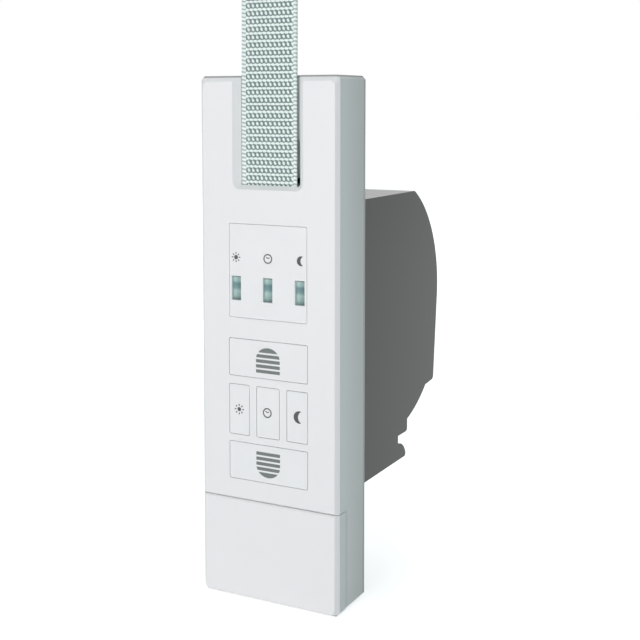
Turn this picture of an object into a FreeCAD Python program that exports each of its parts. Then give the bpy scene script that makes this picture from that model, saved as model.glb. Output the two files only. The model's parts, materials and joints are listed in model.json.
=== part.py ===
import FreeCAD, Part
import math
import os

# Electric belt winder for a roller shutter, in millimetres.
# Origin: middle of the wall case, on the wall plane. +Z is up, the front faces -Y, +X is to the right.
# Everything with y above 0 sits inside the wall.

V = FreeCAD.Vector

# Wall case
CASE_W = 57.6
CASE_H = 195.0
CASE_T = 22.0
WALL = 2.0
SIDE_BEVEL = 1.4
TOP_BEVEL = 2.1
BOTTOM_BEVEL = 0.8
BEVEL_DEPTH = 1.4
CORNER_CUT = 1.4
BACK_T = 2.0
BACK_GAP = 0.15
BACK_CORNER_R = 1.0
SEAM_RISE = 2.5
SEAM_GAP = 0.3
SEAM_BEVEL = 0.5
COVER_DEPTH = 6.5
COVER_STEP = 0.3
COVER_EDGE_W = 1.6
COVER_EDGE_T = 0.6
COVER_ARM_W = 8.0
COVER_ARM_T = 1.9
COVER_ARM_L = 12.0
COVER_ARM_GAP = 0.3
PARTITION_T = 1.5
PARTITION_RISE = 0.3
DRIVER_HOLE_R = 6.0

# Belt and its channel
BELT_W = 23.0
BELT_T = 1.2
BELT_SET_BACK = 2.9
BELT_SIDE_GAP = 0.5
BELT_ABOVE = 36.5
CHANNEL_SIDE_GAP = 0.8
CHANNEL_BEVEL = 2.4
CHANNEL_WALL = 1.5
CHANNEL_DEPTH = 4.8
LIP_Z = 57.9
LIP_BEVEL = 1.8
FLOOR_L = 23.3
MOUTH_R = 3.0
CHANNEL_R = 0.8
SHIELD_T = 1.2
SHIELD_OVERLAP = 1.6
SHIELD_GAP = 2.0

# Clamp at the belt's upper end
END_GRIP_SIDE = 1.5
END_GRIP_L = 6.0
END_ABOVE = 9.0
END_METAL_T = 1.0
END_GRIP_GAP = 0.1
END_CORNER_R = 2.0
EYE_HALF = 6.0
EYE_H = 3.5
EYE_RISE = 3.0
EYE_R = 1.5

# Guide roller behind the lip
ROLLER_R = 5.0
ROLLER_DROP = 4.4
ROLLER_PIN_R = 1.5
ROLLER_GAP = 0.3
EAR_T = 2.2
EAR_REACH = 4.2
EAR_H = 8.4

# Front panel and keys, one under the other
FRONT_GAP = 0.15
KEY_GAP = 0.2
PANEL_HALF = 16.3
PANEL_DROP = 14.4
PANEL_H = 35.0
PANEL_RIM = 1.2
PANEL_RIM_T = 1.0
PANEL_RIM_R = 1.0
WINDOW_W = 4.0
WINDOW_H = 9.0
WINDOW_RISE = 11.0
WINDOW_SIDE_X = 13.3
WINDOW_RECESS = 1.2
WINDOW_FIT = 0.08
WINDOW_COLLAR = 0.8
KEY_HALF = 16.4
UP_KEY_DROP = 7.9
UP_KEY_H = 13.8
SMALL_KEY_DROP = 3.4
SMALL_KEY_H = 18.7
DOWN_KEY_DROP = 3.0
DOWN_KEY_H = 13.9
SMALL_KEY_W = 8.4
CLOCK_KEY_W = 9.4
KEY_R = 0.4
KEY_FLANGE = 1.0
KEY_FLANGE_T = 1.0
STEM_R = 1.6
KEY_TRAVEL = 0.8

# Circuit board and what sits on it
BOARD_FRONT = 13.5
BOARD_T = 1.6
BOARD_SIDE_GAP = 2.3
BOARD_TOP_DROP = 3.0
BOARD_SEAM_GAP = 2.4
BOARD_CORNER_R = 1.5
BOARD_BOSS_R = 2.6
BOARD_BOSS_INSET_X = 3.0
BOARD_BOSS_INSET = 3.5
BOARD_SCREW_R = 0.95
BOARD_SCREW_L = 4.0
BOARD_SCREW_HEAD_R = 1.9
SWITCH_SIDE = 6.0
SWITCH_H = 3.5
SWITCH_FLOOR = 0.8
SWITCH_CORNER_R = 0.5
STEM_GAP = 0.2
STEM_REACH = 0.5
LED_W = 2.8
LED_H = 3.6
LED_BASE_T = 1.0
LED_DOME_R = 1.2
LED_DOME_T = 1.0
LED_GAP = 0.4
CHIP_SIDE = 10.0
CHIP_T = 1.5
CHIP_PINS = 8
CHIP_PIN_PITCH = 1.2
CHIP_PIN_W = 0.5
CHIP_PIN_L = 1.2
CHIP_PIN_T = 0.4
CHIP_RISE = 2.0
TRANSFORMER_W = 18.0
TRANSFORMER_H = 18.0
TRANSFORMER_T = 7.4
TRANSFORMER_Z = -15.0
BOBBIN_W = 14.0
BOBBIN_H = 23.0
BOBBIN_INSET = 0.6
RELAY_W = 10.0
RELAY_H = 16.0
RELAY_T = 7.0
RELAY_GAP = 4.0
RELAY_Z = 16.0
CAPACITOR_R = 3.6
CAPACITOR_L = 16.0
CAPACITOR_EDGE_R = 0.4
CAPACITOR_SIDE_GAP = 1.0
CAPACITOR_Z = -18.0
CONNECTOR_WALL = 0.8
MOTOR_CONNECTOR_W = 8.0
MOTOR_CONNECTOR_H = 6.0
MOTOR_CONNECTOR_T = 6.0
MAINS_CONNECTOR_H = 6.0
MAINS_CONNECTOR_T = 6.5
CONNECTOR_GAP = 0.3
MAINS_CONNECTOR_INSET = 1.2
MAINS_CONNECTOR_GAP = 0.8
MOTOR_LEAD_R = 0.8
MOTOR_LEAD_SPACING = 3.2
MAINS_LEAD_R = 1.1
LEAD_DEPTH = 8.0
LEAD_SLOT_HALF = 2.0
LEAD_SLOT_DEPTH = 3.0

# Housing inside the wall
HOUSING_WALL = 1.8
HOUSING_SIDE_GAP = 1.0
HOUSING_TOP_RISE = 43.3
CROWN_GAP = 11.9
LOWER_R = 56.0
LEAN_DEG = 6.0
SHOULDER_BELOW = 42.5
SHOULDER_DROP = 0.8
MOTOR_GAP = 2.2
FOOT_GAP = 3.1
FOOT_RISE = 10.4
NOTCH_IN = 9.6
NOTCH_RISE = 7.0
TOE_IN = 1.7
LOBE_IN = 2.6
LOBE_DROP = 1.9
CORNER_R = 1.4
FLANGE_T = 1.8
FLANGE_SIDE_GAP = 2.8
FLANGE_OVER = 3.6
FLANGE_UNDER = 1.0
FLANGE_SCREW_INSET = 6.0
HOUSING_SCREW_R = 1.4
HOUSING_SCREW_REACH = 9.5
HOUSING_BOSS_R = 3.4
HOUSING_SCREW_HEAD_R = 2.3
HOUSING_SCREW_HEAD_T = 2.0
HOUSING_SCREW_SINK = 2.4
HOUSING_SCREW_INSET = 2.6
CROWN_SCREW_DEG = 60.0
SHOULDER_SCREW_IN = 8.0
SHOULDER_SCREW_UP = 4.2
FRONT_SCREW_Y = 8.0
FRONT_SCREW_BELOW = 37.0
GUIDE_T = 1.7
GUIDE_REACH = 1.9
GUIDE_GAP = 0.1

# Winding drum
DRUM_Y = 50.0
DRUM_Z = 7.0
DRUM_CORE_R = 12.0
DRUM_FLANGE_T = 1.5
DRUM_FLANGE_GAP = 2.9
DRUM_AXLE_R = 3.0
AXLE_BOSS_T = 2.2
AXLE_SEAT = 0.8
DRUM_END_GAP = 0.35
BUSH_R = 5.0
BUSH_L = 6.0
DRUM_SCREW_DEPTH = 7.0
DRUM_SCREW_HEAD_R = 2.2
DRUM_SCREW_SINK = 1.6
DRUM_SCREW_HEAD_T = 1.1
ROLL_PITCH = 1.7
ROLL_HALF_TURNS = 20
ROLL_CORE_GAP = 0.35
STRAND_GAP = 0.4
STRAND_WRAP_DEG = 30.0
HOOK_DEG = -90.0
HOOK_SPAN_DEG = 19.0
HOOK_GAP_DEG = 3.0
HOOK_T = 1.25
HOOK_HALF = 8.0

# Gears
SPUR_MODULE = 1.0
DRUM_TEETH = 72
PINION_TEETH = 14
GEAR_T = 3.2
SPUR_ADDENDUM = 0.8
PINION_ADDENDUM = 1.0
SPUR_DEDENDUM = 1.25
SPUR_BACKLASH = 0.2
PRESSURE_DEG = 20.0
PINION_SHIFT_Y = -3.0
WHEEL_TEETH = 20
WHEEL_BACKLASH = 0.15
WORM_MODULE = 0.8
WORM_PITCH_R = 4.0
WORM_TURNS = 4
WORM_LEAD_IN = 3
WORM_ADDENDUM = 0.72
WORM_DEDENDUM = 1.0
WORM_BACKLASH = 0.3
WORM_HUB = 1.3
WHEEL_FACE = 5.0
SLEEVE_R = 3.6
SLEEVE_START_X = -6.0
COUNTER_PIN_R = 2.0
COUNTER_BOSS_T = 1.8
COUNTER_END_GAP = 0.3

# Motor
MOTOR_R = 10.5
MOTOR_WALL = 1.0
MOTOR_FRONT_WALL = 2.0
MOTOR_L = 34.0
MOTOR_SETBACK = 11.0
MOTOR_CAP_L = 4.0
MOTOR_CAP_WALL = 1.4
SPIGOT_L = 1.5
MOTOR_BOSS_R = 4.0
MOTOR_SHAFT_R = 1.5
MOTOR_SCREW_X = 7.0
ROTOR_R = 5.0
ROTOR_L = 14.0
ROTOR_SLOTS = 5
ROTOR_SLOT_W = 1.2
ROTOR_SLOT_DEPTH = 2.0
COMMUTATOR_R = 3.0
COMMUTATOR_L = 3.5
ROTOR_START = 6.0
POLE_L = 18.0
POLE_GAP = 5.0
POLE_AIR_GAP = 0.6
BRACKET_T = 2.0
BRACKET_DROP = 2.5
PLATE_GAP = 0.1
END_PLATE_T = 2.5
END_PLATE_H = 7.1
SHAFT_OUT = 1.0
MAGNET_R = 2.8
MAGNET_T = 1.6
MAGNET_GAP = 0.36
HALL_L = 5.2
HALL_W = 3.2
HALL_H = 4.0
HALL_GAP = 0.6
HALL_DROP = 1.4

# Wiring bay and fixings
MOUNT_INSET = 15.0
SLOT_R = 2.25
SLOT_L = 9.0
ENTRY_R = 5.0
ENTRY_RISE = 10.0
TERMINAL_POLES = 3
TERMINAL_PITCH = 8.0
WIRING_MID_X = 0.8
TERMINAL_H = 13.4
TERMINAL_T = 12.5
TERMINAL_GAP = 0.2
TERMINAL_BORE_R = 2.3
TERMINAL_BORE_DEPTH = 6.0
TERMINAL_WIRE_R = 2.0
TERMINAL_WIRE_DEPTH = 5.0
TERMINAL_GROOVE_W = 0.8
TERMINAL_GROOVE_DEPTH = 2.5
TERMINAL_SCREW_R = 2.1
TERMINAL_SCREW_SINK = 2.0
CLAMP_RISE = 12.5
CLAMP_HALF = 6.0
CLAMP_POST_R = 2.4
CLAMP_POST_H = 5.0
CLAMP_END = 2.6
CLAMP_SIDE_GAP = 0.4
CLAMP_BAR_H = 6.0
CLAMP_BAR_T = 2.2
CLAMP_PAD_W = 5.0
CLAMP_PAD_H = 1.2
CLAMP_PAD_T = 0.8
CASE_SCREW_SIDE_GAP = 3.6
CASE_SCREW_TOP_INSET = 7.5
CASE_SCREW_LOW_INSET = 5.5
CASE_SCREW_L = 10.4
CASE_HEAD_R = 3.1
CASE_HEAD_T = 1.55
CASE_HEAD_SINK = 0.1
CASE_HEAD_GAP = 0.15
CASE_BOSS_R = 3.8
SCREW_R = 1.15
PAN_HEAD_R = 2.3
PAN_HEAD_T = 1.4
DRIVER_SLOT_HALF = 0.4
DRIVER_SLOT_T = 0.8
SCREW_FIT = 0.05
SCREW_CLEAR = 0.25
PRESS_FIT = 0.02
RUN_FIT = 0.05
BEYOND = 1.0
ROOTED = 0.2

# Places worked out from the sizes above
FRONT = -CASE_T
INNER_FRONT = FRONT + WALL
INNER_HALF = CASE_W / 2 - WALL
TOP = CASE_H / 2
BOTTOM = -CASE_H / 2
BELT_Y = FRONT + BELT_SET_BACK
BELT_TOP_Z = TOP + BELT_ABOVE
CHANNEL_HALF = BELT_W / 2 + CHANNEL_SIDE_GAP
CHANNEL_FLOOR = FRONT + CHANNEL_DEPTH
FLOOR_END_Z = TOP - FLOOR_L
COVER_BACK = FRONT + COVER_DEPTH
PANEL_TOP_Z = LIP_Z - PANEL_DROP
PANEL_BOTTOM_Z = PANEL_TOP_Z - PANEL_H
WINDOW_MID_Z = PANEL_BOTTOM_Z + WINDOW_RISE
UP_KEY_TOP = PANEL_BOTTOM_Z - UP_KEY_DROP
SMALL_KEY_TOP = UP_KEY_TOP - UP_KEY_H - SMALL_KEY_DROP
DOWN_KEY_TOP = SMALL_KEY_TOP - SMALL_KEY_H - DOWN_KEY_DROP
ROLLER_HALF = BELT_W / 2 + BELT_SIDE_GAP
ROLLER_Z = LIP_Z - ROLLER_DROP
STRAND_ROLLER_R = ROLLER_R + ROLLER_GAP + BELT_T / 2
ROLLER_Y = BELT_Y + STRAND_ROLLER_R
BOARD_Y = -BOARD_FRONT
BOARD_BACK = BOARD_Y + BOARD_T
BOARD_HALF = INNER_HALF - BOARD_SIDE_GAP
BOARD_TOP_Z = PANEL_TOP_Z - BOARD_TOP_DROP
DRUM_INNER_HALF = BELT_W / 2 + BELT_SIDE_GAP
GEAR_X0 = DRUM_INNER_HALF
GEAR_X1 = DRUM_INNER_HALF + GEAR_T
ROLL_START_R = DRUM_CORE_R + ROLL_CORE_GAP + BELT_T / 2
ROLL_END_R = ROLL_START_R + ROLL_HALF_TURNS * ROLL_PITCH / 2
STRAND_DRUM_R = ROLL_END_R + ROLL_PITCH / 4 + BELT_T + STRAND_GAP
DRUM_SCREW_RING_R = (BUSH_R + DRUM_CORE_R) / 2
SPUR_DISTANCE = SPUR_MODULE * (DRUM_TEETH + PINION_TEETH) / 2
COUNTER_Y = DRUM_Y + PINION_SHIFT_Y
COUNTER_Z = DRUM_Z - math.sqrt(SPUR_DISTANCE**2 - PINION_SHIFT_Y**2)
WHEEL_PITCH_R = WORM_MODULE * WHEEL_TEETH / 2
WORM_LEAD = math.pi * WORM_MODULE
WORM_Z = COUNTER_Z - WHEEL_PITCH_R - WORM_PITCH_R
WORM_START_Y = COUNTER_Y + WORM_LEAD / 4 - WORM_LEAD_IN * WORM_LEAD
WORM_L = WORM_TURNS * WORM_LEAD
MOTOR_FRONT_Y = COUNTER_Y - MOTOR_SETBACK
MOTOR_START_Y = MOTOR_FRONT_Y - MOTOR_L
MAGNET_Y = WORM_START_Y + WORM_L + WORM_HUB + MAGNET_GAP
END_PLATE_Y = MAGNET_Y + HALL_L
SHAFT_END_Y = END_PLATE_Y + END_PLATE_T + SHAFT_OUT
HOUSING_FRONT = -BACK_T - FLANGE_T
HOUSING_INNER = GEAR_X1 + HOUSING_SIDE_GAP
HOUSING_HALF = HOUSING_INNER + HOUSING_WALL
HOUSING_TOP_Z = DRUM_Z + HOUSING_TOP_RISE
HOUSING_BOTTOM_Z = WORM_Z - MOTOR_R - MOTOR_GAP - HOUSING_WALL
CROWN_R = SPUR_MODULE * DRUM_TEETH / 2 + SPUR_ADDENDUM + CROWN_GAP
SHOULDER_Z = DRUM_Z - SHOULDER_BELOW
FOOT_Y = SHAFT_END_Y + FOOT_GAP + HOUSING_WALL
FOOT_Z = HOUSING_BOTTOM_Z + FOOT_RISE
NOTCH_Y = FOOT_Y - NOTCH_IN
NOTCH_Z = HOUSING_BOTTOM_Z + NOTCH_RISE
TOE_Y = FOOT_Y - TOE_IN
FLANGE_HALF = INNER_HALF - FLANGE_SIDE_GAP
HOUSING_SCREW_RING_R = CROWN_R - HOUSING_WALL - HOUSING_SCREW_INSET
DRUM_FLANGE_R = HOUSING_SCREW_RING_R - HOUSING_BOSS_R - DRUM_FLANGE_GAP
AXLE_HALF = HOUSING_INNER + AXLE_SEAT
SEAM_Z = HOUSING_BOTTOM_Z + SEAM_RISE
BOARD_BOTTOM_Z = SEAM_Z + BOARD_SEAM_GAP
MOUNT_HALF_SPACING = TOP - MOUNT_INSET
ENTRY_Z = BOTTOM + ENTRY_RISE
TERMINAL_W = TERMINAL_POLES * TERMINAL_PITCH
CLAMP_REACH = CLAMP_HALF + CLAMP_END
TERMINAL_LEFT_X = WIRING_MID_X - (TERMINAL_W + CLAMP_SIDE_GAP) / 2 - CLAMP_REACH
ENTRY_X = TERMINAL_LEFT_X + TERMINAL_W + CLAMP_SIDE_GAP + CLAMP_REACH
TERMINAL_TOP_Z = HOUSING_BOTTOM_Z - FLANGE_UNDER - TERMINAL_GAP
TERMINAL_LOW_Z = TERMINAL_TOP_Z - TERMINAL_H
TERMINAL_MID_Z = (TERMINAL_TOP_Z + TERMINAL_LOW_Z) / 2
TERMINAL_FRONT = -BACK_T - TERMINAL_T
CLAMP_Z = ENTRY_Z + CLAMP_RISE
CLAMP_FRONT = -BACK_T - CLAMP_POST_H
CASE_SCREW_X = INNER_HALF - CASE_SCREW_SIDE_GAP


def box(x0, x1, y0, y1, z0, z1):
    return Part.makeBox(x1 - x0, y1 - y0, z1 - z0, V(x0, y0, z0))


def rod(r, start, end):
    """A round bar from one point to another."""
    along = V(*end) - V(*start)
    return Part.makeCylinder(r, along.Length, V(*start), along)


def ring(r_out, r_in, start, end):
    return rod(r_out, start, end).cut(rod(r_in, start, end))


def rod_x(r, y, z, x0, x1):
    return rod(r, (x0, y, z), (x1, y, z))


def rod_y(r, x, z, y0, y1):
    return rod(r, (x, y0, z), (x, y1, z))


def fused(shapes):
    first, rest = shapes[0], shapes[1:]
    return first.multiFuse(rest).removeSplitter() if rest else first


def slab(x0, x1, z0, z1, y0, y1, r):
    """A plate in the XZ plane with corners of radius r."""
    block = box(x0, x1, y0, y1, z0, z1)
    corners = [e for e in block.Edges if abs(e.tangentAt(e.FirstParameter).y) > 0.9]
    return block.makeFillet(r, corners)


def yz_wire(items, x):
    """A closed wire in the YZ plane at x. An item of three points is an arc, and of two points a line."""
    edges = []
    for item in items:
        points = [V(x, y, z) for y, z in item]
        curve = Part.Arc(*points) if len(points) == 3 else Part.LineSegment(*points)
        edges.append(curve.toShape())
    return Part.Wire(edges)


def prism_x(wire, length):
    return Part.Face(wire).extrude(V(length, 0, 0))


def polygon_x(points, x0, x1):
    sides = [(points[i - 1], points[i]) for i in range(len(points))]
    return prism_x(yz_wire(sides, x0), x1 - x0)


def on_circle(y, z, r, angle):
    return (y + r * math.cos(angle), z + r * math.sin(angle))


def mirrored(shape):
    return shape.mirror(V(0, 0, 0), V(1, 0, 0))


def pan_screw(tip, seat, r, head_r, head_t):
    """A screw from its tip to the face under its head, with a cross recess in the head."""
    tip, seat = V(*tip), V(*seat)
    along = seat - tip
    along.normalize()
    top = seat + along * head_t
    head = Part.makeCylinder(head_r, head_t, seat, along)
    side = along.cross(V(0, 0, 1) if abs(along.z) < 0.9 else V(1, 0, 0))
    side.normalize()
    other = along.cross(side)
    cutters = []
    for a, b in ((side, other), (other, side)):
        corners = []
        for s, t in ((-1, -1), (1, -1), (1, 1), (-1, 1)):
            corners.append(top - along * head_t * 0.5 + a * s * head_r * 0.6 + b * t * head_r * 0.12)
        cutters.append(Part.Face(Part.makePolygon(corners + corners[:1])).extrude(along * head_t))
    shank = Part.makeCylinder(r, (seat - tip).Length, tip, along)
    return head.cut(cutters[0]).cut(cutters[1]).fuse(shank).removeSplitter()


def export(node, shapes):
    shapes = shapes if isinstance(shapes, list) else [shapes]
    solids = [s for shape in shapes for s in shape.Solids]
    for solid in solids:
        if not solid.isValid() or solid.Volume <= 0:
            raise RuntimeError(node + " has a solid that isn't valid")
    whole = solids[0] if len(solids) == 1 else Part.makeCompound(solids)
    whole.exportStep("parts/" + node + ".step")
    print(node, len(solids), "solids", round(sum(s.Volume for s in solids) / 1000, 3), "cm3")


# Case, cover and back plate
def case_outline(half, low, high, y):
    """Corners of the case's outline at depth y, a rectangle with small cut corners."""
    cut = CORNER_CUT
    places = [
        (-half + cut, low), (half - cut, low), (half, low + cut), (half, high - cut),
        (half - cut, high), (-half + cut, high), (-half, high - cut), (-half, low + cut),
    ]
    return [V(x, y, z) for x, z in places]


def flat_face(corners):
    return Part.Face(Part.makePolygon(corners + corners[:1]))


def case_block(z0, z1):
    """The block, bevelled towards its front, that the case and its lower cover are cut from."""
    half = CASE_W / 2
    outlines = [
        case_outline(half - SIDE_BEVEL, z0 + BOTTOM_BEVEL, z1 - TOP_BEVEL, FRONT),
        case_outline(half, z0, z1, FRONT + BEVEL_DEPTH),
        case_outline(half, z0, z1, 0),
    ]
    faces = [flat_face(outlines[0]), flat_face(outlines[-1])]
    for near, far in zip(outlines, outlines[1:]):
        for i in range(len(near)):
            faces.append(flat_face([near[i - 1], near[i], far[i], far[i - 1]]))
    return Part.Solid(Part.Shell(faces))


def channel_outline(half, bottom, top, y, r):
    """The channel's outline at depth y: straight sides and round lower corners."""
    turn = r * math.sqrt(0.5)
    left, right = -half, half
    low = bottom + r
    pieces = [
        Part.LineSegment(V(left, y, top), V(left, y, low)),
        Part.Arc(V(left, y, low), V(left + r - turn, y, low - turn), V(left + r, y, bottom)),
        Part.LineSegment(V(left + r, y, bottom), V(right - r, y, bottom)),
        Part.Arc(V(right - r, y, bottom), V(right - r + turn, y, low - turn), V(right, y, low)),
        Part.LineSegment(V(right, y, low), V(right, y, top)),
        Part.LineSegment(V(right, y, top), V(left, y, top)),
    ]
    return Part.Wire([p.toShape() for p in pieces])


def channel_cutter():
    above = TOP + BEYOND
    slot = box(-CHANNEL_HALF, CHANNEL_HALF, FRONT - BEYOND, CHANNEL_FLOOR, LIP_Z, above)
    face_outline = channel_outline(
        CHANNEL_HALF + CHANNEL_BEVEL, LIP_Z - LIP_BEVEL, above, FRONT, MOUTH_R
    )
    lip_outline = channel_outline(
        CHANNEL_HALF, LIP_Z, above, FRONT + CHANNEL_BEVEL, CHANNEL_R
    )
    bevel = Part.makeLoft([face_outline, lip_outline], True, True)
    return slot.fuse(bevel)


def key_places():
    """Each key's name with its left, right, bottom and top edge."""
    small = (SMALL_KEY_TOP - SMALL_KEY_H, SMALL_KEY_TOP)
    return {
        "up_key": (-KEY_HALF, KEY_HALF, UP_KEY_TOP - UP_KEY_H, UP_KEY_TOP),
        "sun_key": (-KEY_HALF, -KEY_HALF + SMALL_KEY_W) + small,
        "clock_key": (-CLOCK_KEY_W / 2, CLOCK_KEY_W / 2) + small,
        "moon_key": (KEY_HALF - SMALL_KEY_W, KEY_HALF) + small,
        "down_key": (-KEY_HALF, KEY_HALF, DOWN_KEY_TOP - DOWN_KEY_H, DOWN_KEY_TOP),
    }


def board_boss_places():
    return [
        (side * (BOARD_HALF - BOARD_BOSS_INSET_X), z)
        for side in (-1, 1)
        for z in (BOARD_TOP_Z - BOARD_BOSS_INSET, BOARD_BOTTOM_Z + BOARD_BOSS_INSET)
    ]


def case_screw_places():
    return [
        (side * CASE_SCREW_X, z)
        for side in (-1, 1)
        for z in (TOP - CASE_SCREW_TOP_INSET, BOTTOM + CASE_SCREW_LOW_INSET)
    ]


def cover_edge_cutter():
    """Takes the right edge of the case's side, next to the lower cover, down to a bevel."""
    half, out = CASE_W / 2, CASE_W / 2 + BEYOND
    near, far = COVER_BACK, COVER_BACK + COVER_EDGE_W
    places = [
        (half - COVER_EDGE_T, near), (half, far), (out, far),
        (out, near - BEYOND), (half - COVER_EDGE_T, near - BEYOND),
    ]
    low = BOTTOM - BEYOND
    return flat_face([V(x, y, low) for x, y in places]).extrude(V(0, 0, SEAM_Z - low))


def front_case():
    hollow = box(-INNER_HALF, INNER_HALF, INNER_FRONT, BEYOND, BOTTOM + WALL, TOP - WALL)
    shell = case_block(BOTTOM, TOP).cut(hollow)
    cover_space = box(-CASE_W, CASE_W, FRONT - BEYOND, COVER_BACK, BOTTOM - BEYOND, SEAM_Z)
    shell = shell.cut(cover_space)
    partition_top = SEAM_Z + PARTITION_RISE
    floor_back = CHANNEL_FLOOR + CHANNEL_WALL
    outer = CHANNEL_HALF + CHANNEL_WALL
    added = [
        box(-INNER_HALF, INNER_HALF, INNER_FRONT, HOUSING_FRONT - BACK_GAP,
            partition_top - PARTITION_T, partition_top),
        box(-outer, outer, CHANNEL_FLOOR, floor_back, FLOOR_END_Z, TOP - WALL),
        box(-outer, outer, floor_back - ROOTED, floor_back + SHIELD_T,
            ROLLER_Z + ROLLER_R + SHIELD_GAP, FLOOR_END_Z + SHIELD_OVERLAP),
    ]
    for side in (-1, 1):
        x0, x1 = sorted((side * CHANNEL_HALF, side * outer))
        added.append(box(x0, x1, INNER_FRONT, floor_back, LIP_Z, TOP - WALL))
        x0, x1 = sorted((side * CHANNEL_HALF, side * (CHANNEL_HALF + EAR_T)))
        added.append(box(x0, x1, INNER_FRONT, ROLLER_Y + EAR_REACH, LIP_Z - EAR_H, LIP_Z))
    for x, z in board_boss_places():
        added.append(rod_y(BOARD_BOSS_R, x, z, INNER_FRONT, BOARD_Y))
    for x, z in case_screw_places():
        start = INNER_FRONT if z > SEAM_Z else COVER_BACK
        added.append(rod_y(CASE_BOSS_R, x, z, start, -BACK_T))
    case = shell.multiFuse(added).cut(channel_cutter())
    ear_out = CHANNEL_HALF + EAR_T + BEYOND
    case = case.cut(rod_x(ROLLER_PIN_R + SCREW_FIT, ROLLER_Y, ROLLER_Z, -ear_out, ear_out))
    cuts = [rod_y(DRIVER_HOLE_R, 0, MOUNT_HALF_SPACING, CHANNEL_FLOOR - BEYOND, floor_back + BEYOND)]
    cuts.append(slab(-PANEL_HALF, PANEL_HALF, PANEL_BOTTOM_Z, PANEL_TOP_Z,
                     FRONT - BEYOND, INNER_FRONT + BEYOND, KEY_R))
    for x0, x1, z0, z1 in key_places().values():
        cuts.append(slab(x0 - KEY_GAP, x1 + KEY_GAP, z0 - KEY_GAP, z1 + KEY_GAP,
                         FRONT - BEYOND, INNER_FRONT + BEYOND, KEY_R + KEY_GAP))
    for x, z in board_boss_places():
        cuts.append(rod_y(BOARD_SCREW_R + SCREW_FIT, x, z,
                          BOARD_Y - BOARD_SCREW_L - BEYOND, BOARD_Y + BEYOND))
    for x, z in case_screw_places():
        cuts.append(rod_y(SCREW_R + SCREW_FIT, x, z, -CASE_SCREW_L - BACK_T - BEYOND, 0))
    bevel = [(FRONT - BEYOND, SEAM_Z - BEYOND), (FRONT - BEYOND, SEAM_Z + SEAM_BEVEL + BEYOND),
             (FRONT + SEAM_BEVEL + BEYOND, SEAM_Z - BEYOND)]
    cuts.append(polygon_x(bevel, -CASE_W, CASE_W))
    cuts += [cover_edge_cutter(), mirrored(cover_edge_cutter())]
    for x in pole_xs():
        cuts.append(box(x - LEAD_SLOT_HALF, x + LEAD_SLOT_HALF,
                        -LEAD_DEPTH - LEAD_SLOT_DEPTH, -LEAD_DEPTH + LEAD_SLOT_DEPTH,
                        SEAM_Z - PARTITION_T - BEYOND, SEAM_Z + BEYOND))
    for cut in cuts:
        case = case.cut(cut)
    return case.removeSplitter()


def terminal_cover():
    top = SEAM_Z - SEAM_GAP
    bottom = BOTTOM - COVER_STEP
    back = COVER_BACK - SEAM_GAP
    keep = box(-CASE_W, CASE_W, FRONT - BEYOND, back, bottom - BEYOND, top)
    hollow = box(-INNER_HALF, INNER_HALF, INNER_FRONT, BEYOND, BOTTOM + WALL, TOP)
    cover = case_block(bottom, TOP).common(keep).cut(hollow)
    bevel = [(FRONT - BEYOND, top + BEYOND), (FRONT - BEYOND, top - SEAM_BEVEL - BEYOND),
             (FRONT + SEAM_BEVEL + BEYOND, top + BEYOND)]
    cover = cover.cut(polygon_x(bevel, -CASE_W, CASE_W))
    arms = []
    arm_outer = INNER_HALF - COVER_ARM_GAP
    arm_low = (SEAM_Z + BOTTOM - COVER_ARM_W) / 2
    for side in (-1, 1):
        x0, x1 = sorted((side * (arm_outer - COVER_ARM_T), side * arm_outer))
        arms.append(box(x0, x1, INNER_FRONT, INNER_FRONT + COVER_ARM_L, arm_low, arm_low + COVER_ARM_W))
    return cover.multiFuse(arms).removeSplitter()


def slot_y(z, y0, y1):
    """A slotted hole that runs along Z through a plate."""
    reach = SLOT_L / 2 - SLOT_R
    middle = box(-SLOT_R, SLOT_R, y0, y1, z - reach, z + reach)
    ends = [rod_y(SLOT_R, 0, z + s * reach, y0, y1) for s in (-1, 1)]
    return middle.multiFuse(ends).removeSplitter()


def flange_screw_places():
    x = (HOUSING_HALF + FLANGE_HALF) / 2
    top, low = HOUSING_TOP_Z - FLANGE_SCREW_INSET, HOUSING_BOTTOM_Z + FLANGE_SCREW_INSET
    zs = (top, (top + low) / 2, low)
    return [(side * x, z) for side in (-1, 1) for z in zs]


def clamp_post_xs():
    return (ENTRY_X - CLAMP_HALF, ENTRY_X + CLAMP_HALF)


def back_plate():
    half = INNER_HALF - BACK_GAP
    reach = TOP - WALL - BACK_GAP
    plate = slab(-half, half, -reach, reach, -BACK_T, 0, BACK_CORNER_R)
    posts = [rod_y(CLAMP_POST_R, x, CLAMP_Z, CLAMP_FRONT, -BACK_T) for x in clamp_post_xs()]
    plate = plate.multiFuse(posts)
    gap = BACK_GAP
    behind = -BACK_T - BEYOND
    cuts = [box(-HOUSING_HALF - gap, HOUSING_HALF + gap, behind, BEYOND,
                HOUSING_BOTTOM_Z - gap, HOUSING_TOP_Z + gap)]
    cuts += [slot_y(s * MOUNT_HALF_SPACING, behind, BEYOND) for s in (-1, 1)]
    cuts.append(rod_y(ENTRY_R, ENTRY_X, ENTRY_Z, behind, BEYOND))
    free_r = SCREW_R + SCREW_CLEAR
    sink_t = CASE_HEAD_SINK + CASE_HEAD_T
    for x, z in case_screw_places():
        cuts.append(rod_y(free_r, x, z, behind, BEYOND))
        cuts.append(Part.makeCone(CASE_HEAD_R + CASE_HEAD_GAP, free_r, sink_t, V(x, 0, z), V(0, -1, 0)))
    for x, z in flange_screw_places():
        cuts.append(rod_y(SCREW_R + SCREW_FIT, x, z, behind, BEYOND))
    for x in clamp_post_xs():
        cuts.append(rod_y(SCREW_R + SCREW_FIT, x, CLAMP_Z, CLAMP_FRONT - BEYOND, BEYOND))
    for cut in cuts:
        plate = plate.cut(cut)
    return plate.removeSplitter()


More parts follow.
